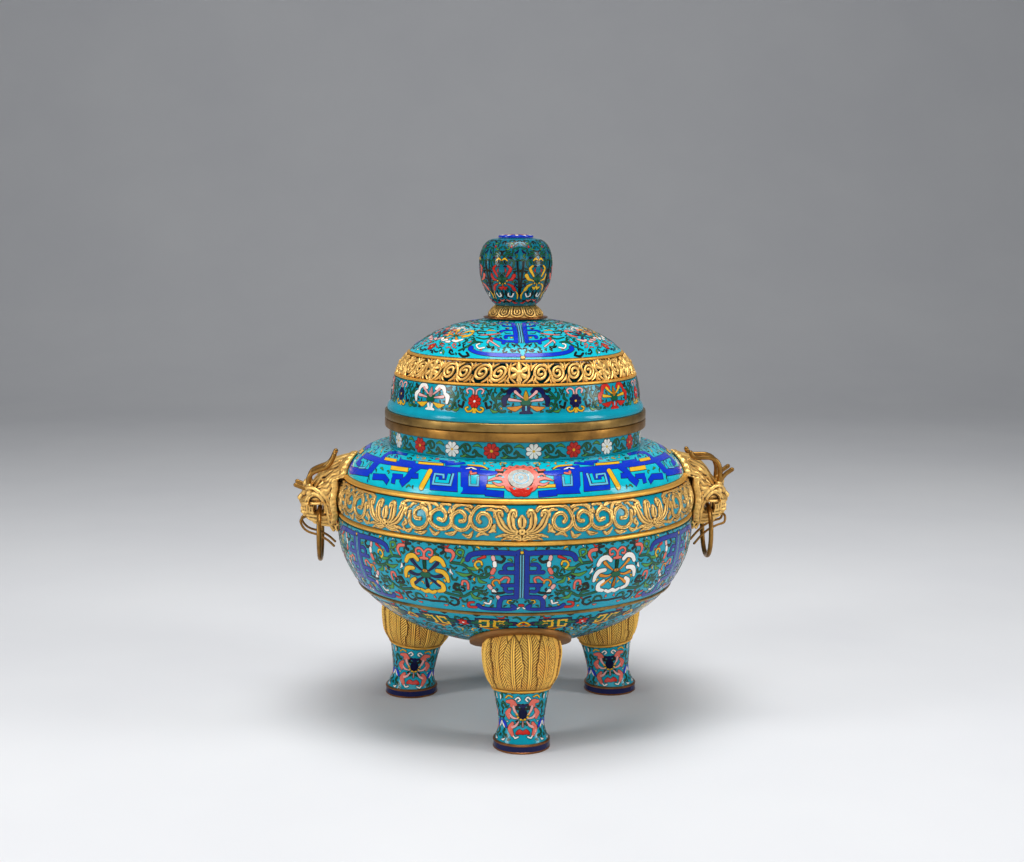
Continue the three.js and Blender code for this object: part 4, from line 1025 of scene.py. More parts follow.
def reliefMesh(name, outer, high, back=(), shadeDepth=0.8):
    # outer is rows x columns x 3; the rows of back close it behind, or else each end closes at a point
    rows, columns = outer.shape[:2]
    loops = [outer] + [row[None] for row in back]
    grid = np.concatenate(loops)
    verts = grid.reshape(-1, 3)
    total = len(grid)
    span = total if back else total - 1
    faces = gridFaces(span, columns, total)
    # the hollow mark, for grime and painted shade: 1 where the relief is low, on the rows behind and at the
    # end points
    hollow = np.clip(1 - high / shadeDepth, 0, 1).reshape(-1)
    hollow = np.r_[hollow, np.ones(len(verts) - len(hollow))]
    if not back:
        low, top = outer[0].mean(0), outer[-1].mean(0)
        verts = np.vstack([verts, low, top])
        count = len(verts)
        faces += [[count - 2, (n + 1) % columns, n] for n in range(columns)]
        faces += [[count - 1, (rows - 1) * columns + n, (rows - 1) * columns + (n + 1) % columns]
                  for n in range(columns)]
        hollow = np.r_[hollow, 1, 1]
    piece = fromData(name, verts, faces)
    piece.data.attributes.new("hollow", "FLOAT", "POINT").data.foreach_set("value", hollow.astype(float))
    print(name, len(verts), "points")
    return piece


def mirrored(strokes):
    return strokes + [(tall, wide, [(-x, y) for x, y in points]) for tall, wide, points in strokes]


belt = {"pitch": 129.6, "count": 8, "columns": 8 * 212, "rows": 50, "foot": 193, "depth": 2.0,
        "thicker": 1.12, "taller": 1.15, "inside": 158, "low": 193.2,
        "high": 222.3}   # pitch is from lotus to lotus
beltLotus = mirrored([
    (2.1, (1, 3, 3.5, 2.7, 1.2), [(3.4, 8.2), (8, 11.4), (9.4, 17.6), (8.8, 23.8), (6, 24.2), (5.4, 20.8)]),
    (1.8, (1, 2.7, 3.2, 2.4, 1), [(4.4, 6.8), (11, 8.6), (16.6, 13), (20, 19.6), (21.4, 23.8), (18, 24.4),
                                  (16.6, 21.2)]),
    (1.6, (1, 1.9, 1.5, 0.5), [(2, 5.4), (8, 4.4), (15, 5.2), (22, 3.4)]),
    (1.6, (1, 1.6, 1.4, 0.5), [(1.2, 4), (7, 2.2), (13, 2.6), (17.4, 0.9)]),
    (1.5, (0.8, 1.5, 0.6), [(22.4, 8), (25.2, 10.6), (23.4, 13.8)]),
]) + [(2.3, (1, 3.6, 4.1, 2.8, 0.6), [(0, 11.8), (0, 14.2), (0, 17.4), (0, 21.4)]),
      (2.6, 3.1, [(0, 8.1), (0, 8.5)])]
beltScroll = [
    (1.7, (1.2, 2), [(8, 3.4), (2, 1.8)]),
    (1.8, 1.45, [(12.8, 25.4), (15.8, 28), (23.8, 29), (33.9, 29), (40, 26.4), (43.5, 19.3), (41.9, 12.5),
                 (35.8, 8.8), (28.6, 11.1), (26.6, 17.1), (29.7, 21.9), (34.8, 22.7), (37.8, 18.6),
                 (35.8, 15.8)]),
    (1.8, 1.45, [(44, 20), (44.4, 14), (47.4, 9.6), (53.6, 8.4), (60, 13), (59.4, 20.3), (53.7, 23.7),
                 (48.8, 20.6), (49, 16.4), (52.8, 15.8)]),
    (1.7, 1.3, [(43.6, 27.4), (50, 29.2), (56.6, 28), (60.1, 24), (60.4, 18)]),
    (1.8, 1.45, [(61.4, 20), (60.4, 14), (64.6, 9.2), (72, 8.4), (79, 12), (80, 19), (76, 23.6), (70.3, 24.2),
                 (66, 20.2), (67.8, 15.4), (72.6, 16.4)]),
    (1.7, 1.3, [(79.8, 16), (81.4, 24), (85, 28.4), (92.7, 29.2), (104.6, 29), (112, 26)]),
    (1.8, 1.45, [(101.6, 20), (100.4, 11), (94.3, 6.6), (86.4, 8.4), (82.6, 14.5), (84.6, 21.6), (91, 24.6),
                 (96.4, 21), (95, 15.4), (90.4, 15)]),
    (1.6, (0.7, 1.5, 0.9), [(48.6, 29), (55, 29.4), (60.3, 27.2)]),
    (1.6, (0.8, 1.5, 0.9), [(63, 28), (67.6, 29), (72, 27.6), (70.4, 25.8)]),
    (1.6, (0.7, 1.4, 0.8), [(74.6, 26.4), (78.6, 28.6), (83, 28.4)]),
    (1.5, (0.6, 1.7, 0.6), [(28.7, 5.2), (34, 6.6), (38.4, 3.4)]),
    (1.5, (0.6, 1.7, 0.6), [(42, 7.4), (45, 3), (50.4, 4.6)]),
    (1.5, (0.6, 1.8, 0.6), [(56, 7.4), (60, 4.6), (66, 4.4)]),
    (1.5, (0.6, 1.7, 0.6), [(72, 5.4), (76, 3.2), (80.4, 7.6)]),
    (1.5, (0.6, 1.8, 0.6), [(84, 5.4), (88.4, 3.2), (95.7, 3.4)]),
    (1.5, (0.6, 1.7, 0.6), [(98.4, 6.4), (103, 3.4), (108, 4.6)]),
    (1.5, (0.7, 1.6, 0.7), [(103, 24), (106, 21), (105, 16)]),
    (1.5, (0.6, 1.4, 0.6), [(22.6, 24.4), (26, 26), (30.4, 25.6)]),
    (1.5, (0.6, 1.5, 0.7), [(22.8, 14), (24, 9.6), (27.6, 7.4)]),
    (1.4, (0.5, 1.2, 0.5), [(19.6, 26.4), (23, 24), (23.6, 20)]),
    (1.4, (0.6, 1.3, 0.6), [(96.6, 26.8), (100.4, 26.4), (101.4, 23.4)]),
    (1.4, (0.6, 1.3, 0.6), [(86, 26.2), (89.4, 27.2), (92.6, 26.6)]),
    (1.4, (0.5, 1.2, 0.5), [(44.2, 23), (46.4, 25.4), (49.6, 26)]),
    (1.4, (0.5, 1.3, 0.5), [(61.6, 24.6), (63.4, 22.4), (63, 26)]),
    (1.3, (0.4, 1.0, 0.4), [(106, 12), (108.4, 8.4), (106.4, 5)]),
]


def makeBelt():
    v = np.linspace(0.2, 29.3, belt["rows"])
    turn = circle(belt["columns"])
    along = ((turn - starts["bowl"]) * belt["count"] / (2 * math.pi)) % 2   # one pair of pitches
    along = np.where(along > 1, 2 - along, along) * belt["pitch"]
    far = [(tall, wide, [(belt["pitch"] - x, y) for x, y in points]) for tall, wide, points in beltLotus]
    unique, same = np.unique(np.round(along, 4), return_inverse=True)
    full = [(belt["taller"] * tall, np.array(wide) * belt["thicker"], points) for tall, wide,
            points in beltScroll]
    high = heights(*np.meshgrid(unique, v), beltLotus + far + full, 0.42)[:, same]
    z = v[:, None] + belt["foot"]
    outer = around(beltRadius(z) - belt["depth"] + high, turn, z)
    back = [around(belt["inside"], turn, belt[end]) for end in ("high", "low")]
    piece = reliefMesh("belt_relief", outer, high, back, 0.9)
    piece.data.materials.append(metals["reliefGilt"])
    # the ground between the scrolls: turquoise darkened as painted shade
    piece.data.materials.append(enamels["shadedTurquoise"])
    flat = (high[:-1] + high[1:] + np.roll(high, -1, 1)[:-1]
            + np.roll(high, -1, 1)[1:]).reshape(-1) / 4 < 0.12
    index = np.zeros(len(piece.data.polygons), int)
    index[:len(flat)] = flat
    piece.data.polygons.foreach_set("material_index", index)
    # grime and painted shade in the creases, stronger the lower the relief lies
    markHollows(piece, 0.028, keep=np.clip(1.1 - high / 1.1, 0, 1))
    settle(piece, None, "vessel", ["belt_band"], 55)


galleryLeaves = [
    ((0.6, 1.3, 0.6), [(-4.4, 1.2), (-1, 3.2), (0.6, 6.6)]),
    ((0.6, 1.3, 0.6), [(4, 16.2), (0.6, 14.2), (-0.8, 10.8)]),
    ((0.6, 1.2, 0.6), [(-5, 16.4), (-2.4, 14.2), (-2.6, 11)]),
    ((0.6, 1.2, 0.6), [(5, 1), (2.4, 3), (2.8, 6)]),
    ((0.5, 1.0, 0.5), [(1.4, 0.8), (0.2, 4)]), ((0.5, 1.0, 0.5), [(-1, 16.8), (0, 13)])]
galleryBracket = [(3, 1), (7, 4.4), (8.6, 9), (7, 13.6), (3, 16.8)]


def spiral(x, y, radius, start, turns):
    # from the rim inwards
    share = np.linspace(0, 1, int(9 * turns))
    angle = math.radians(start) + share * turns * 2 * math.pi
    reach = radius * (1 - 0.78 * share)
    return [(x + a * math.cos(b), y + a * math.sin(b)) for a, b in zip(reach, angle)]


def makeGallery():
    line = [(domeRadius(z), z) for z in np.linspace(318.4, 336.2, 9)]
    inlay = Inlay(wallOf(line))
    middle, top = 8.9, 17.6   # heights in the drawing
    scrolls = []
    for x in (18.9, 50.2):
        pair = (spiral(x, middle, 6.3, 90, 1.6), spiral(x + 15, middle, 6.3, -90, 1.6))
        scrolls.append((1.25, pair[0][::-1] + [(x + 5.6, 13.6), (x + 8.4, 9), (x + 10.4, 4.4)] + pair[1]))
    for x in (11.4, 26.4, 41.6, 57.6, 72.6):
        scrolls += [(width, [(x + across, v) for across, v in points]) for width, points in galleryLeaves]
    stretch = inlay.wall["run"][-1] / top
    for k in range(8):
        turn = starts["gallery"] + math.radians(45 * k)
        for width, points in scrolls:
            inlay.rod(points, width, turn, lift=-0.7, tall=1.25, stretch=stretch)
        for petal in range(6):
            a = math.radians(90 + 60 * petal)
            inlay.rod([(r * math.cos(a), middle + r * math.sin(a)) for r in (1.6, 5.4)], (1.4, 2.5), turn,
                      lift=-0.4,
                      tall=1.3, stretch=stretch)
        inlay.rod([(-0.2, middle), (0.2, middle)], 2.6, turn, lift=0.5, tall=1.1, stretch=stretch)
        for side in (-1, 1):
            inlay.rod([(side * x, v) for x, v in galleryBracket], (0.9, 1.2, 0.9), turn, lift=-0.8, tall=1.1,
                      stretch=stretch)
        for low, high in ((1, 3.4), (14.4, 16.8)):
            inlay.rod([(0, low), (0, high)], 1.6, turn, lift=-0.6, tall=1, stretch=stretch)
    inlay.finish("gallery_scrolls", "lid", "gilt", ["gallery"], metals["reliefGilt"])


def makeCollar():
    line = np.array(curve([(25.2, 0), (24.8, 3.4), (22.2, 7), (18.4, 10.2)], 0.3))
    wall = wallOf(line + (0, 369.3))
    middle, petals = 22.5, 12
    pitch = 2 * math.pi * middle / petals
    turn = circle(396)
    u, v = np.meshgrid((turn * middle + pitch / 2) % pitch - pitch / 2, np.linspace(0.1, wall["run"][-1], 34))
    petal = [(1.1, 0.85, [(-4.8, 12), (-5, 5), (-3.8, 2), (0, 0.8), (3.8, 2), (5, 5), (4.8, 12)]),
             (1.0, 0.7, [(-2, 9.4), (-2.4, 5), (0, 3), (2.4, 5), (2, 9.4)]), (0.9, 0.8, [(0, 5.6), (0, 8)]),
             (0.7, 0.7, [(-5.9, 13), (-5.9, 9)])]
    high = heights(u, v, petal, 0.1)
    outer = spots(wall, turn, v, high - 0.7)
    back = [around(6, turn, z) for z in (379.4, 369.4)]
    piece = reliefMesh("knop_lotus_collar", outer, high, back, 0.7)
    # grime and painted shade in the creases between the petals
    markHollows(piece, 0.03)
    settle(piece, metals["reliefGilt"], "lid", ["knop_collar"], 60)
    washer = lathe("knop_washer_disc", [(5, 367.9), (28.8, 367.9), (29.4, 368.3), (29.4, 368.8),
                                        (28.8, 369.1), (5, 369.1)])
    settle(washer, metals["copper"], "lid", ["knop_washer"])


# Legs: each leans out from its foot

legs = {"names": (("front_leg", 0), ("rear_left_leg", -120), ("rear_right_leg", 120)), "reach": 112,
        "lean": -6,
        "flangeReach": 92, "bulbFoot": 53.2, "bulbHeight": 55, "bulbRadius": 34.9, "bulbRows": 96,
        "bulbColumns": 420, "bulbGap": 2.6, "leafDepth": 1.5}
leaf = {"pitch": 360 / 7, "half": 15.6, "outerMore": 6, "mmPerDegree": 0.6, "hatch": 0.34, "hatchPitch": 2.7,
        "layers": ((0, 10.2, 0.98), (1, -15.5, 0.87)),
        "outline": ([0, 0.24, 0.27, 0.5, 0.53, 0.74, 0.88, 1], [0.66, 0.8, 0.96, 1.02, 0.9, 0.8, 0.52, 0.02])}
bulbForm = [(0.755, 0), (0.91, 0.18), (1, 0.5), (0.97, 0.68), (0.86, 0.84), (0.6, 1)]
saucerEdge = [(2, 0.35), (20, 0.35), (38, 0.35), (44.3, 0.35), (44.8, 0.8), (45, 1.6), (45, 3.2), (44.6, 4),
              (43.6, 4.3), (38, 4.1), (30, 4.2), (18, 4.2),
              (2, 4.2)]   # (distance from the middle, from the bowl)


def bowlGap(points):
    # distance outside the bowl, near enough for the legs
    reach = np.hypot(points[..., 0], points[..., 1])
    slope = bowlHeight(reach + 0.5) - bowlHeight(reach - 0.5)
    return (bowlHeight(reach) - points[..., 2]) / np.sqrt(1 + slope ** 2)


def leafField(angle, share, rise):
    # lance-shaped leaves in two layers, with midrib, rim and fine hatching; dark is painted shade along the
    # grooves, in the hatching and round the rims
    high, dark = np.full(share.shape, 0.2), np.zeros(share.shape)
    pitch, size = leaf["pitch"], leaf["mmPerDegree"]
    for layer, start, top in leaf["layers"]:
        off = np.abs((angle - start + pitch / 2) % pitch - pitch / 2)
        reach = np.interp(share / top, *leaf["outline"]) * (leaf["half"] + leaf["outerMore"] * (1 - layer))
        side = off / reach
        across = off * size
        form = layer * 1.1 + 0.35 * (1 - side) + 0.6 * np.exp(-((1 - side) / 0.11) ** 2)
        form = form + 0.7 * np.exp(-((across - 0.9) / 0.55) ** 2) - 0.4 * np.exp(-((across - 2.2) / 0.6) ** 2)
        hatch = np.sin((rise - across * 1.1) * 2 * math.pi / leaf["hatchPitch"])
        hatched = (side < 0.82) * (across > 2)
        form = form + leaf["hatch"] * hatch * hatched
        inside = (side < 1) & (share < top)
        line = np.maximum(np.exp(-((across - 2.1) / 0.5) ** 2) * 0.8,
                          np.exp(-((1 - side) * reach * size / 0.5) ** 2))
        line = np.maximum(line, 0.55 * np.clip(-hatch, 0, 1) * hatched)
        high = np.where(inside, np.maximum(form, -0.1) + 0.4, high)
        rim = np.exp(-((side - 1) * reach * size / 0.7) ** 2) * (share < top)
        dark = np.where(inside, line, np.maximum(dark, rim))
    return high, dark


def makeBulb(name, place):
    # a height field that ends where it comes near the bowl
    foot, tall, most = legs["bulbFoot"], legs["bulbHeight"], 1.06
    turn = circle(legs["bulbColumns"])
    share = np.linspace(0, most, 200)[:, None]
    form = np.array(curve([(r * legs["bulbRadius"], s * tall) for r, s in bulbForm], 0.8))
    radius = np.interp(share * tall, form[:, 1], form[:, 0])
    near = bowlGap(moved(place, around(radius, turn, foot + share * tall))) < legs["bulbGap"]
    limit = np.where(near.any(0), share[np.argmax(near, 0), 0], most)
    limit = np.convolve(np.r_[limit[-4:], limit, limit[:4]], np.ones(9) / 9, "valid")
    level = np.linspace(0, 1, legs["bulbRows"])[:, None] * limit
    high, dark = leafField(np.degrees(turn), level, level * tall)
    # painted shade at the bulb's foot, where it meets the bead; all of dark goes into the hollow mark
    dark = np.maximum(dark, np.exp(-level / 0.03))
    r = np.interp(level * tall, form[:, 1], form[:, 0]) - legs["leafDepth"] + high
    outer = around(r, turn, foot + level * tall)
    bulb = reliefMesh(name + "_leaf_bulb", moved(place, outer), high, (), 1.5)
    markHollows(bulb, 0.03, keep=0.75 * dark)
    settle(bulb, metals["bulbGilt"], "vessel", [name + "_bulb"], 60)


def makeSaucer(name, azimuth):
    # the flange under the bowl: rings round the bowl's normal, pushed out to their distance from it
    reach, count = legs["flangeReach"], 96
    slope = float(bowlHeight(reach + 0.5) - bowlHeight(reach - 0.5))
    out = np.array([slope, -1]) / math.hypot(slope, 1)
    way = math.radians(azimuth)
    axis = np.array([math.sin(way), -math.cos(way), 0])
    normal = axis * out[0] + np.array([0, 0, out[1]])
    first = axis * -out[1] + np.array([0, 0, out[0]])
    second = np.cross(normal, first)
    middle = axis * reach + np.array([0, 0, float(bowlHeight(reach))])
    angle = circle(count)[:, None]
    loops = []
    for far, lift in saucerEdge[::-1]:
        flat = middle + far * (np.cos(angle) * first + np.sin(angle) * second)
        push = np.zeros(count)
        for _ in range(12):
            push += (lift - bowlGap(flat + push[:, None] * normal)) * 0.8
        loops.append(flat + push[:, None] * normal)
    grid = np.array(loops)
    saucer = reliefMesh(name + "_saucer", grid, np.full(grid.shape[:2], 0.55), (), 1)
    settle(outward(saucer), metals["copperRelief"], "vessel", [name + "_flange"], 40)


def makeLeg(name, azimuth):
    turned = Matrix.Rotation(math.radians(azimuth), 4, "Z")
    place = turned @ Matrix.Translation((0, -legs["reach"], 0))
    place = place @ Matrix.Rotation(math.radians(legs["lean"]), 4, "X")
    inMetres = Matrix.Translation(place.translation * (mm - 1)) @ place
    makeBulb(name, place)
    makeSaucer(name, azimuth)
    bead = lathe(name + "_bead", [(18, 50.4), (24.6, 50.4), (25.8, 50.8), (26.4, 51.6), (26.4, 52.2),
                                  (25.9, 52.8), (18, 52.9)], 96)
    bead.data.transform(inMetres)
    settle(bead, metals["gilt"], "vessel", [name + "_fillet"])
    line = [tuple(p) for p in curve([(24.2, 5.6), (22.9, 9.6), (20.2, 18), (20.2, 25), (22.4, 40),
                                     (24.4, 50.2)], 1.6)]
    shank = lathe(name + "_shank_wall", line + [(16, 50.2), (16, 5.6)], 96)
    shank.data.transform(inMetres)
    # turquoise darkened as painted shade
    settle(shank, enamels["shadedTurquoise"], "vessel", [name + "_shank"])
    foot = lathe(name + "_foot_disc", [(0.2, 0.05), (24.4, 0.05), (25, 0.5), (25.1, 1.4), (24.7, 1.8),
                                       (24.7, 6.5), (25.1, 6.9), (25.1, 7.8), (24.5, 8.5), (0.2, 8.5)], 96)
    foot.data.materials.append(metals["copper"])
    foot.data.materials.append(enamels["navy"])
    for face in foot.data.polygons:
        face.material_index = int(2 < face.center.z / mm < 6.4 and math.hypot(face.center.x, face.center.y)
                                  / mm > 20)
    foot.data.transform(turned @ Matrix.Translation((0, -legs["reach"] * mm, 0)))
    settle(foot, None, "vessel", [name + "_foot"])
    inlay = Inlay(wallOf(line))
    for k in range(3):
        inlay.both(legLotus, math.radians(120 * k), 4.4, lift=0.1)
    inlay.fill(11, 0, 3, 3.4, 46.5, 900, 0.85, gap=0.45,
               shares={"green": 6, "yellow": 1, "white": 1, "leaf": 2, "black": 1, "coral": 0.6})
    inlay.finish(name + "_inlay", "vessel", "turquoise_enamel", place=place)


legLotus = [
    ("navy", (5.4, 7.4, 4, 1.4), [(0, 20.6), (0, 23), (0, 26.6), (0, 31)]),
    ("navy", (3, 1), [(0, 29.4), (4, 31.4)]), ("black", 1.6, [(2.4, 27), (5, 27.6), (4.6, 29.8)]),
    ("pink", (1, 1.9, 2.4), [(4.4, 22), (7, 25.4), (8.4, 29.4)]),
    ("coral", (2.8, 4.4, 2.6), [(6.6, 31.4), (9.4, 33.8), (14.2, 33.6)]),
    ("coral", 2.6, [(9.6, 32.4), (10, 30)]),
    ("pink", (1, 1.9, 2.4), [(4.6, 18.6), (9, 19.4), (11.8, 22)]),
    ("coral", (2.4, 5, 2.6), [(12.4, 18.8), (13.8, 22.8), (11.6, 26.6)]),
    ("pink", (1, 1.9, 2.4), [(3.6, 15.8), (6, 12.4), (9, 10.8)]),
    ("coral", (2.6, 4.8, 2.4), [(9, 14.2), (11.4, 9.4), (9, 3.8)]),
    ("yellow", 1.6, [(1.6, 17.8), (2, 17.8)]), ("yellow", 1.6, [(4, 19.6), (4.4, 19.8)]),
    ("yellow", 1.6, [(5.2, 22.2), (5.4, 22.6)]),
    ("yellow", 1.5, [(-0.2, 17.2), (0.2, 17.2)]), ("pink", (1, 2.8, 1.6), [(0, 15.8), (0, 11.8)]),
    ("red", (2, 4.2, 2.4), [(0, 5.6), (2.8, 7), (5, 5.6)]),
    ("white", 1.2, [(6.6, 36), (4.2, 38), (2.4, 36), (4, 34.4)]),
    ("yellow", 1.1, [(9.4, 38.2), (13, 39.4), (15.6, 37)]),
    ("white", 1.2, [(4.2, 2.6), (7, 1.4), (8.2, 3)]),
    ("green", 1.5, [(16, 30), (18.8, 32.6), (20.8, 29.4), (18.6, 27.2)]),
    ("cobalt", (1.6, 3.4, 1.2), [(15, 10.6), (17.4, 13.6), (19, 17)]),
    ("white", (0.9, 1.8, 0.7), [(17.4, 10), (19.4, 12.6), (20.6, 15)]),
    ("green", 1.5, [(15.6, 41), (19.8, 42.6), (19.6, 37)]),
    ("green", (0.8, 2.2, 0.8), [(1, 41.4), (5.4, 43), (9.6, 41.4)]),
    ("green", 1.3, [(16, 3), (19, 5.4), (17.4, 8)]),
]


def makeLegs():
    for name, azimuth in legs["names"]:
        makeLeg(name, azimuth)


# Beast masks: tubes and a loft joined and remeshed, then pushed off the vessel


def vesselRadius(z):
    return np.where(z < 190, bowlRadius(z),
                    np.where(z < 224, np.maximum(beltRadius(z), 163.4), shoulderRadius(np.maximum(z, 227.5))))


def tubeParts(paths, sides=14):
    # verts and faces of closed round tubes, from (points, radius or radii) in millimetres
    verts, faces = [], []
    for points, size in paths:
        line = curve(points, 1.2)
        width = spread(size, runOf(line))
        ahead = np.gradient(line, axis=0)
        ahead /= np.linalg.norm(ahead, axis=1)[:, None]
        caps = [[(line[end] + ahead[end] * sign * width[end] * math.sin(a), width[end] * math.cos(a),
                  ahead[end])
                 for a in (1.3, 0.9, 0.45)] for end, sign in ((0, -1), (-1, 1))]
        chain = caps[0] + list(zip(line, width, ahead)) + caps[1][::-1]
        side = np.cross(ahead[0], (0.31, 0.2, 0.93))
        start = sum(len(v) for v in verts)
        for place, wide, way in chain:
            side = side - way * (side @ way)
            side /= np.linalg.norm(side)
            other = np.cross(way, side)
            angle = circle(sides)[:, None]
            verts.append(place + wide * (np.cos(angle) * side + np.sin(angle) * other))
        faces += tubeFaces(start, len(chain), sides)
    return verts, faces


def markHollows(piece, depth=0.05, rounds=2, keep=None):
    # an attribute that is 1 in the creases, from how far each point lies under its neighbours, where metals
    # that read it get grime and painted shade;
    # keep is the least value of the first points
    count = len(piece.data.vertices)
    place, normal = np.zeros(count * 3), np.zeros(count * 3)
    piece.data.vertices.foreach_get("co", place)
    piece.data.vertices.foreach_get("normal", normal)
    place, normal = place.reshape(-1, 3) / mm, normal.reshape(-1, 3)
    ends = np.zeros(len(piece.data.edges) * 2, int)
    piece.data.edges.foreach_get("vertices", ends)
    a, b = ends.reshape(-1, 2).T
    number = np.maximum(np.bincount(np.r_[a, b], minlength=count), 1)

    def near(values):
        return np.bincount(np.r_[a, b], np.r_[values[b], values[a]], count) / number
    mean = np.stack([near(place[:, k]) for k in range(3)], -1)
    sunk = ((mean - place) * normal).sum(1)
    for _ in range(rounds):
        sunk = 0.5 * sunk + 0.5 * near(sunk)
    mark = np.clip(sunk / depth, 0, 1)
    if keep is not None:
        mark[:keep.size] = np.maximum(mark[:keep.size], keep.reshape(-1))
    if "hollow" not in piece.data.attributes:
        piece.data.attributes.new("hollow", "FLOAT", "POINT")
    piece.data.attributes["hollow"].data.foreach_set("value", mark)


beast = {"reach": 165.2, "middle": 202.95, "ruffWidth": 32, "ruffUp": 43, "ruffDown": 30, "locks": 48,
         "curls": 34, "square": 2.6,
         "voxel": 0.62, "horn": (9.5, 207.75), "whisker": (7, 193.75)}
looseRing = {"reach": 24.25, "wire": 2.2, "out": 14.8, "height": 169.5, "steps": 96, "sides": 16}
headForm = [   # (out, half width, low, top)
    (-24, 24, 196.75, 241.75), (-9, 27, 196.75, 236.75), (-1, 26.5, 196.75, 232.75), (5, 25, 196.75, 227.75),
    (11, 22.5, 196.75, 220.25), (18, 19, 196.75, 213), (24, 15.5, 196.75, 209.25), (30, 10, 196.9, 204.5),
    (32.2, 6.5, 197.2, 200.8)]


def skin(out, z):
    # half width of the head at a place in its side view
    outs = [row[0] for row in headForm]
    wide, low, top = (np.interp(out, outs, [row[k] for row in headForm]) for k in (1, 2, 3))
    t = np.clip(np.abs((z - (low + top) / 2) / ((top - low) / 2)), 0, 0.97)
    head = (wide - 1.6) * (1 - t ** beast["square"]) ** (1 / beast["square"])
    throat = np.interp(out, [-4, 5.5], [21.5, 16.5])
    return np.where(z < 197.5, throat, head)


maneStrands = [   # (radius, points in side view as (out, z))
    (1.9, [(21, 216), (16, 222), (9, 225), (3, 231), (-4, 234), (-12, 238.6)]),
    (1.7, [(18, 214.5), (12.6, 219.4), (7, 221), (2, 226), (-3, 228), (-8, 234.5)]),
    (1.7, [(17, 211.6), (12, 215.4), (7, 216.4), (3, 221), (-2, 222.6), (-5, 229)]),
    (1.5, [(10, 212.4), (6, 212.4), (2.6, 216.6), (-1, 217.6), (-3, 222.4)]),
    (1.4, [(5, 208.4), (1.6, 211.6), (-1, 212.4), (-3, 216)]),
    (1.4, [(14.6, 217), (9, 223), (3, 228.6), (-6, 231.4), (-9, 236)]),
    (2.3, [(27, 200), (25, 205), (19, 208.6), (13, 206), (10, 200.4), (6.8, 195), (6.2, 188), (4.8, 181),
           (1.8, 175)]), (1.6, [(22.6, 211.6), (15.6, 211.6), (9, 206.6), (6, 201), (4.8, 194), (3.4, 184)]),
    (1.7, [(4.6, 206), (2.8, 200), (2.6, 192), (1, 183), (-1.6, 175)]),
    (1.5, [(0.8, 208), (-0.4, 200), (-0.6, 190), (-2, 180)]),
    (1.4, [(-2.4, 212), (-3.4, 203), (-3.4, 192), (-4.4, 182)]), (1.4, [(9, 207.6), (5.6, 203), (4.8, 196)]),
    (1.3, [(23, 213.6), (19.6, 218.6), (14, 224), (10, 229)]), (1.3, [(12, 227.6), (5, 232.6), (-4, 237.6)]),
]


faceTubes = [   # (points as (out, to one side, z), radius or radii)
    ([(29.4, 4.4, 199.6), (30.4, 4.6, 199.8)], 2.6), ([(24.6, 4, 211), (28.4, 3.6, 208)], 3.2),
    ([(32.4, 0, 199), (31, 7, 198.9), (26, 12.6, 198.8), (19, 17.4, 198.9), (12.6, 20.4, 199.6)], 1.5),
    ([(22.6, 12.6, 208.8), (23.4, 12.9, 208.8)], 2.9),
    ([(28.6, 6, 209.4), (25.4, 11.6, 213), (19.6, 16, 213.4), (15, 18.4, 210.6)], 1.7),
    ([(23, 9.5, 208), (23.8, 9.6, 214.4)], (4.2, 3.3)), ([(25.8, 6.4, 216), (26.8, 5, 212.6)], 2.6),
    ([(10, 6, 218), (0, 7.4, 226), (-8, 8, 234.6), (-14, 8.4, 241)], 2.2),
    ([(14, 11.6, 215), (4, 13.6, 224.6), (-5, 14.4, 232), (-12, 15, 237.6)], 1.9),
    ([(25, 7.6, 184), (12, 9.2, 181.4), (3, 9.6, 181)], 1.1),
    ([(26, 7.6, 187), (12, 9.2, 186), (3, 9.6, 186)], 1.0),
    ([(20, 6.2, 180), (10, 7.2, 177.6), (2, 8, 177.2)], 1.2),
    ([(31.6, 0, 196.6), (30, 5, 196.4), (20.8, 7.6, 196)], 1.3),
    ([(31.6, 0, 189.6), (30, 5, 189.6), (20.8, 7.6, 189.4)], 1.4),
    ([(31, 3.2, 193.6), (30.6, 3.6, 192)], 1.7)]
faceLofts = [   # throat, jaw, closed mouth and crest, as rings (out, half width, middle, half height)
    [(-6, 21.5, 186.75, 13), (1, 19.6, 186.75, 13), (4, 17.5, 186.75, 12.6), (5.2, 15.5, 186.75, 11.6)],
    [(0.6, 9.4, 183.2, 7.2), (12, 9.3, 183.4, 6.9), (20, 8.8, 184.4, 5.7), (26, 7.6, 186.2, 4),
     (30.4, 5, 188, 2.4)],
    [(19.9, 7.4, 193.4, 6), (24, 7.6, 193.4, 6), (28, 7, 193.2, 5.6), (30, 5.4, 193, 5), (31.2, 3, 193, 3.4)],
    [(0, 9, 193, 8), (11, 9, 193, 8)], [(9, 2.6, 193, 7), (12, 2.6, 193, 7)],
    [(17.8, 2.6, 193.4, 6), (21, 2.6, 193.4, 6)],
    [(-20, 5.8, 222, 17), (-6, 6, 221, 16.6), (3, 6.2, 219, 14.4), (10.5, 6.2, 215, 10.6),
     (16.5, 5.8, 211, 6.4),
     (20, 5, 208.6, 3)]]
ruffEdge = [(0.05, 6), (0.5, 6.2), (0.8, 5.8), (0.9, 6.6), (0.97, 6.4), (1.0, 4.6), (0.97, 1.2), (0.8, 0.6),
            (0.05, 0.6)]   # (share of its width, height over the vessel)
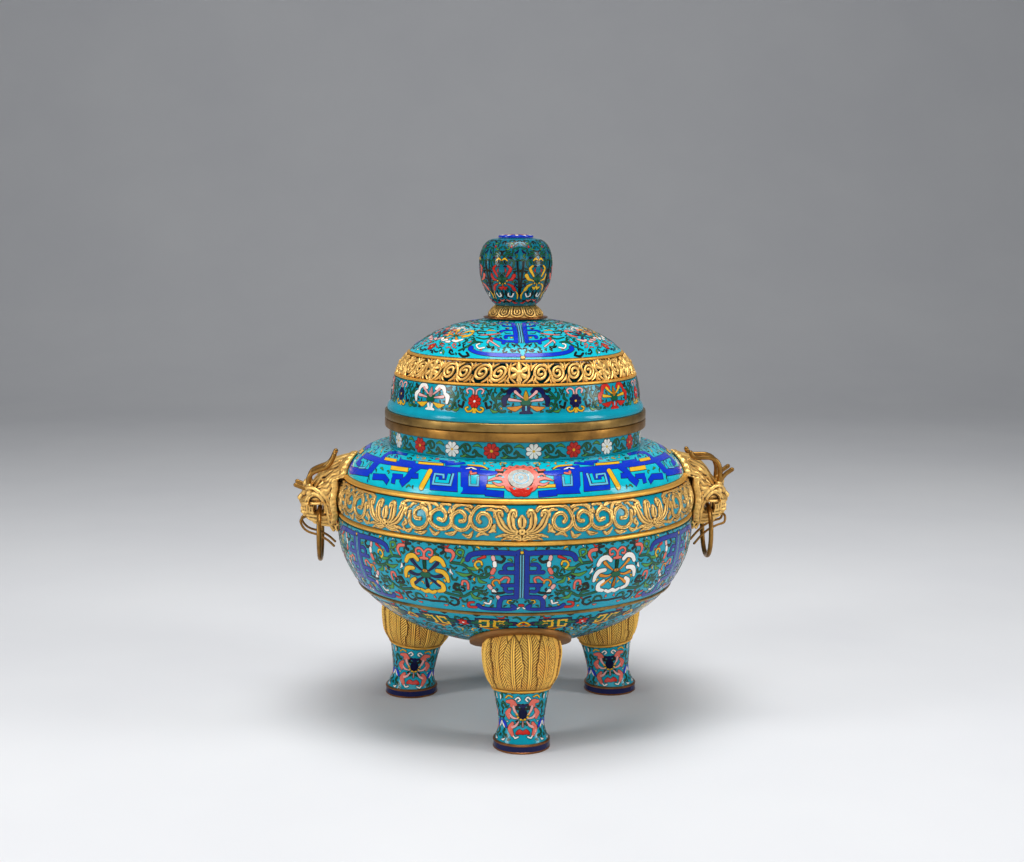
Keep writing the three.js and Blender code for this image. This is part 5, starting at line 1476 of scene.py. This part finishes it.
wireForms = {   # the horn past its root, its prong and the whisker, as (out, outwards, up)
    "left": ([(21.5, 1, 18.5), (14.5, 1.5, 22), (8, 2, 24.5), (4, 2.7, 29), (0.5, 3.5, 36)],
             [(23, 0, 4), (29, 0.3, 5), (36.2, 0.6, 8)],
             [(26, -1.5, -7.5), (30.4, -0.6, -9.6), (32.5, 0, -12.5), (30, 1.5, -18), (25, 2, -22),
              (16, 2.5, -25),
              (8, 3, -29.5), (2, 3.2, -35)]),
    "right": ([(24.5, 0.5, 20.5), (21.5, 1, 27.5), (15.5, 1.5, 31), (8.5, 2, 31.5), (2, 2.5, 31.5),
               (-2, 3, 33.5),
               (-3.6, 3.5, 36.3)],
              [(23, 0, 4), (25.6, 0.1, 10), (29.6, 0.3, 15.5), (35.6, 0.6, 20)],
              [(26, -1.5, -7.5), (30.4, -0.6, -9.6), (29.5, 2.6, -15.5), (23, 3.4, -18), (15, 3.4, -22),
               (8, 3.4, -28),
               (1.5, 3.4, -35.5)])}
crestLine = [(19.6, 213.4), (17, 219.4), (11, 228), (4, 235), (-5, 239),
             (-14, 241.4)]   # (out, z) of the middle


def ruffTall(rise):
    # the ruff's edge above or below its middle: it reaches up further than down
    return np.where(np.asarray(rise) > 0, beast["ruffUp"], beast["ruffDown"]) * rise


def facePaths():
    # (points, radii) of the lumps, brows, nose, lips, teeth and jaw bars of the face
    paths = []
    for sign in (-1, 1):
        paths += [([(out, sign * across, z) for out, across, z in points], size) for points,
                  size in faceTubes]
        paths += [([(out, sign * 7.7, 197.4), (out, sign * 8, 190.4)], (1.2, 0.7))
                  for out in (21.4, 24, 26.4)]
        for across, drop, size in ((3.6, 0.6, 2.7), (6.2, 3.2, 2.3)):   # the crest between the horns
            paths.append(([(out, sign * across, z - drop) for out, z in crestLine], (1.6, size, size, size)))
    return paths + [([(32.6, 0, 202.4), (28.4, 0, 207), (22, 0, 213)], (3, 2.8, 2.6)),
                    ([(26, 0, 211), (27.4, 0, 216), (24.4, 0, 219.4)], (2.8, 3.2, 2.2)),
                    ([(out, 0, z) for out, z in crestLine], (1.8, 3, 3, 2.6)),
                    ([(24, 0, 211.6), (29, 0, 207.6)], 2.8)]


def hairPaths():
    # strands of the mane, hair over the ruff out to its edge, and curls along that edge
    paths = []
    for radius, points in maneStrands:
        for sign in (-1, 1):
            path = [(out, sign * (float(skin(out, z)) - 0.5 * radius), z) for out, z in points]
            paths.append((path, (radius * 0.7, radius, radius, radius * 0.75)))
    count, width, middle = beast["locks"], beast["ruffWidth"], beast["middle"]
    for k in range(count):
        a = 2 * math.pi * (k + 0.5) / count
        path = []
        for t in np.linspace(0, 1, 7):
            share, b = 0.5 + 0.46 * t, a + 0.075 * math.sin(5.4 * t + 1.9 * k)
            y, z = width * share * math.cos(b), middle + share * ruffTall(math.sin(b))
            path.append(overVessel(y, z, 8.8 - 3 * t if z > 200 else 6.8 - 1.2 * t))
        paths.append((path, (1.2, 1.7, 1.6, 1.1)))
    count = beast["curls"]
    for k in range(count):
        a = 2 * math.pi * (k + 0.5) / count
        y, z = 0.925 * width * math.cos(a), middle + 0.93 * ruffTall(math.sin(a))
        path = []
        for t in np.linspace(0, 1, 8):
            b, r = a + math.pi + 4.6 * t, 2.6 * (1 - 0.6 * t)
            path.append(overVessel(y + r * math.cos(b), z + r * math.sin(b), 5.9))
        paths.append((path, (0.8, 1, 0.9)))
    return paths


def overVessel(y, z, lift):
    # a place in the mask's own frame at a height over the vessel's wall
    return math.sqrt((float(vesselRadius(z)) + lift) ** 2 - y ** 2) - beast["reach"], y, z


def maskParts():
    verts, faces = [], []

    def add(rings):
        faces.extend(tubeFaces(sum(len(v) for v in verts), len(rings), len(rings[0])))
        verts.extend(rings)

    angle = circle(44)
    c, s = [np.sign(value) * np.abs(value) ** (2 / beast["square"])
            for value in (np.cos(angle), np.sin(angle))]
    skull = [(out, wide - 1.6, (low + top) / 2, (top - low) / 2 - 0.9) for out, wide, low, top in headForm]
    for loft in [skull] + faceLofts:
        add([np.stack([np.full(44, out), wide * c, middle + high * s], -1) for out, wide, middle,
             high in loft])
    # the ruff: a saucer that follows the vessel, scalloped at the edge
    angle = circle(136)
    scallop = 1 - 0.02 * np.abs(np.sin(24 * angle))
    rings = []
    for share, lift in ruffEdge:
        y = beast["ruffWidth"] * share * np.cos(angle) * scallop
        z = beast["middle"] + share * ruffTall(np.sin(angle)) * scallop
        rings.append(np.stack([np.sqrt((vesselRadius(z) + lift) ** 2 - y ** 2) - beast["reach"], y, z], -1))
    add(rings)
    return verts, faces


def makeMask(side, turn):
    tubes, tubeQuads = tubeParts(hairPaths() + facePaths())
    start = sum(len(v) for v in tubes)
    verts, faces = maskParts()
    faces = [[start + i for i in face] for face in faces]
    mask = outward(fromData(side + "_beast_mask", np.vstack(tubes + verts), tubeQuads + faces))
    remesh = mask.modifiers.new("remesh", "REMESH")
    remesh.mode = "VOXEL"
    remesh.voxel_size = beast["voxel"] * mm
    bpy.ops.object.modifier_apply(modifier="remesh")
    smooth = mask.modifiers.new("smooth", "SMOOTH")
    smooth.factor = 0.5
    smooth.iterations = 2
    bpy.ops.object.modifier_apply(modifier="smooth")
    # nothing goes into the vessel's wall
    points = np.zeros(len(mask.data.vertices) * 3)
    mask.data.vertices.foreach_get("co", points)
    points = points.reshape(-1, 3) / mm + (beast["reach"], 0, 0)
    reach = np.hypot(points[:, 0], points[:, 1])
    least = vesselRadius(points[:, 2]) + np.where(points[:, 2] > 224, 0.5, 0.15)
    points[:, :2] *= np.maximum(least / reach, 1)[:, None]
    # the cheek is hollow under the arch that the ring goes into
    inside = 1 - ((points[:, 0] - beast["reach"] - 18.4) / 6.6) ** 2 - ((points[:, 2] - 198.4) / 8.2) ** 2
    deep = 4.6 * np.clip(inside * 2.5, 0, 1) * (points[:,
                                                       2] > 195) * np.clip((np.abs(points[:, 1]) - 8) / 3, 0,
                                                                           1)
    points[:, 1] -= np.sign(points[:, 1]) * deep
    mask.data.vertices.foreach_set("co", (moved(turn, points) * mm).reshape(-1))
    mask.data.update()
    # grime and painted shade in the creases of the face, mane and ruff
    markHollows(mask, 0.045, 3)
    print(mask.name, len(points), "points")
    settle(mask, metals["reliefGilt"], "vessel", [side + "_mask"], 60)


def makeWires(side, place):
    bend, prong, whisker = wireForms[side]
    horn = [(20.5, -0.5, -1), (23.5, 0, 6), (24.5, 0.5, 13)] + bend
    for label, sign in (("front", -1), ("rear", 1)):
        sign = sign if side == "right" else -sign
        for name, node, root, paths in (
                ("_antler", "_horn", beast["horn"], ((horn, (2.3, 2.3, 2.3, 2.2, 2.1, 2.2)),
                                                     (prong, (2.2, 2, 2.1)))),
                ("_whisker_wire", "_whisker", beast["whisker"], ((whisker, (1.1, 1.05, 1.1)),))):
            wires = [([(out, sign * (root[0] + more), root[1] + up) for out, more, up in path], size)
                     for path, size in paths]
            verts, faces = tubeParts(wires)
            piece = fromData(side + "_" + label + name, moved(place, np.vstack(verts)), faces)
            settle(piece, metals["bronze"], "vessel", [side + "_" + label + node], 60)


def makeLooseRing(side, place):
    # worn a little thinner where it rubs
    a, b = circle(looseRing["steps"])[:, None], circle(looseRing["sides"])
    thick = looseRing["wire"] - 0.12 * np.exp(-((np.abs(a - math.pi) - math.pi)
                                                / 0.3) ** 2) + 0.03 * np.sin(5 * a)
    reach = looseRing["reach"] + thick * np.cos(b)
    grid = np.stack([looseRing["out"] + thick * np.sin(b), reach * np.sin(a),
                     looseRing["height"] + reach * np.cos(a)], -1)
    faces = gridFaces(looseRing["steps"], looseRing["sides"], looseRing["steps"])
    ring = outward(fromData(side + "_hanging_ring", moved(place, grid).reshape(-1, 3), faces))
    settle(ring, metals["bronze"], side + "_loose_ring", [side + "_ring"], 60)


def makeBeast(side, angle):
    turn = Matrix.Rotation(angle, 4, "Z")
    place = turn @ Matrix.Translation((beast["reach"], 0, 0))
    makeMask(side, turn)
    makeWires(side, place)
    makeLooseRing(side, place)


# The knop: six lobes with a lotus on each, and a flower on top


knop = {"foot": 379.6, "rise": 60.8, "lobes": 6, "start": 0.45, "groove": 2.6,
        "line": [(18.5, 0), (21.6, .05), (26, .17), (30.8, .33), (33.3, .55), (32.6, .74), (29.2, .89),
                 (23, .975), (15.6, 1)]}
lobeLotus = [
    ("green", (3.4, 4.4, 3), [(0, 25.6), (0, 28), (0, 31)]), ("green", 2.6, [(2, 28.6), (3.4, 29)]),
    ("yellow", 1.3, [(2.4, 24.6), (2.8, 24.7)]),
    ("yellow", 1.3, [(-0.2, 23.6), (0.2, 23.6)]), ("yellow", 1.2, [(4.4, 26.8), (4.6, 27)]),
    ("petal", (1.2, 2.6, 1.6), [(4.4, 31), (6.6, 34.4), (8.6, 38), (6, 40.4)]),
    ("petal", (1, 2.4, 3), [(5.6, 27.6), (9, 28.4), (11.4, 32)]),
    ("petal", (1, 2.2, 3), [(5, 24), (8.6, 22), (10, 18.4)]),
    ("petal", (0.8, 2.2, 1.6), [(0, 22.4), (1.6, 19.4), (3.4, 20.6)]),
    ("white", 1.1, [(8.4, 14.4), (6.4, 11), (3.4, 12), (4, 14.6)]),
    ("yellow", (0.8, 1.5, 0.8), [(0.6, 45.4), (3, 47), (5.4, 45)]),
    ("green", 1.1, [(10.6, 40), (11.6, 44), (8.6, 45.8), (7.4, 43)]),
    ("black", 1.1, [(2, 16.4), (1.2, 13.6), (3, 10)]),
    ("coral", (0.8, 1.4, 0.6), [(1, 8), (3.6, 6.4), (5.6, 8)]),
    # the black line along the groove between lobes is painted shade
    ("black", 1.1, [(13.6, 12), (15.4, 28), (14.6, 44)]),
    ("green", 1.1, [(9.6, 50), (5, 51.6), (2, 49)]),
    ("yellow", (0.6, 1.4, 0.6), [(10.6, 8.6), (12, 13), (11, 17)]),
]


def makeKnop():
    line = np.array(curve([(r, knop["foot"] + h * knop["rise"]) for r, h in knop["line"]], 0.9))

    def groove(turn, z):
        share = np.clip((z - knop["foot"]) / knop["rise"], 0, 1)
        return knop["groove"] * (1 - np.abs(np.cos(knop["lobes"] / 2
                                                   * (turn + knop["start"])))) ** 1.7 * np.sin(math.pi
                                                                                               * share) ** 0.8
    wall = wallOf(line, groove)
    outer = spots(wall, circle(360), wall["run"][:, None], 0)
    body = reliefMesh("knop_body", outer, np.ones(outer.shape[:2]), (), 1)
    # the knop's turquoise is darkened as painted shade
    settle(body, enamels["shadedKnopTurquoise"], "lid", ["knop"], 40)
    inlay = Inlay(wall)
    for k in range(knop["lobes"]):
        centre = -knop["start"] + 2 * math.pi / knop["lobes"] * k   # the groove is opposite the lobe's middle
        inlay.both(lobeLotus, centre, colours={"petal": ("red", "yellow", "coral")[k % 3]}, lift=0.1)
    # the black curls come often: partly the knop's pattern, partly painted shade
    inlay.fill(21, -knop["start"], knop["lobes"], 3, 68, 1700, 0.8, gap=0.32,
               shares={"green": 6, "yellow": 1, "leaf": 2, "black": 3, "red": 1.6, "navy": 1.4})
    inlay.finish("knop_inlay", "lid", "turquoise_enamel")
    cap = lathe("knop_flower_cap", [(0.2, 440.8), (15.8, 440.8), (16, 441.4), (15.8, 442.4), (13.4, 443.1),
                                    (8, 443.55), (0.2, 443.7)], 96)
    settle(cap, enamels["cobalt"], "lid", ["knop_cap"])
    top = Inlay(wallOf([(15.8, 442.4), (13.4, 443.1), (8, 443.55), (0.5, 443.7)]))
    for k in range(12):
        a = 2 * math.pi * k / 12
        for first, last, colour, size in ((0.6, 4.2, "white", 3.4), (3.6, 9.6, "red", 2.9),
                                          (10, 13, ("yellow", "green")[k % 2], 1.6)):
            top.lay(*topStroke(first, last, size / 2 + wireWidth), a, lookNames.index("wire"), 0.08)
            top.lay(*topStroke(first, last, size / 2), a, lookNames.index(colour), 0.15)
    top.finish("knop_cap_inlay", "lid", "cobalt_enamel")


def topStroke(first, last, half):
    # a petal that narrows towards the middle of the cap, as left and right edges
    v = np.linspace(first, last, 5)
    wide = half * np.sin(np.linspace(0.5, 2.6, 5))
    return np.c_[-wide, v], np.c_[wide, v]


def dressHidden():
    # the parts inside keep their shape and get their metal
    for node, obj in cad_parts.items():
        if "stud" in node or "nut" in node or node == "lid_spigot":
            for slot in getattr(obj, "material_slots", []):
                slot.material = metals["bronze"]


makeStage()
print("camera, light and floor done")
makeVessel()
makeLid()
print("turned walls done")
makeBowlInlay()
makeShoulderInlay()
makeNeckInlay()
makeBandInlay()
makeDomeInlay()
print("inlay done")
makeBelt()
makeGallery()
makeCollar()
makeLegs()
print("relief and legs done")
makeBeast("right", 0.0)
makeBeast("left", math.pi)
makeKnop()
dressHidden()
print("masks and knop done")
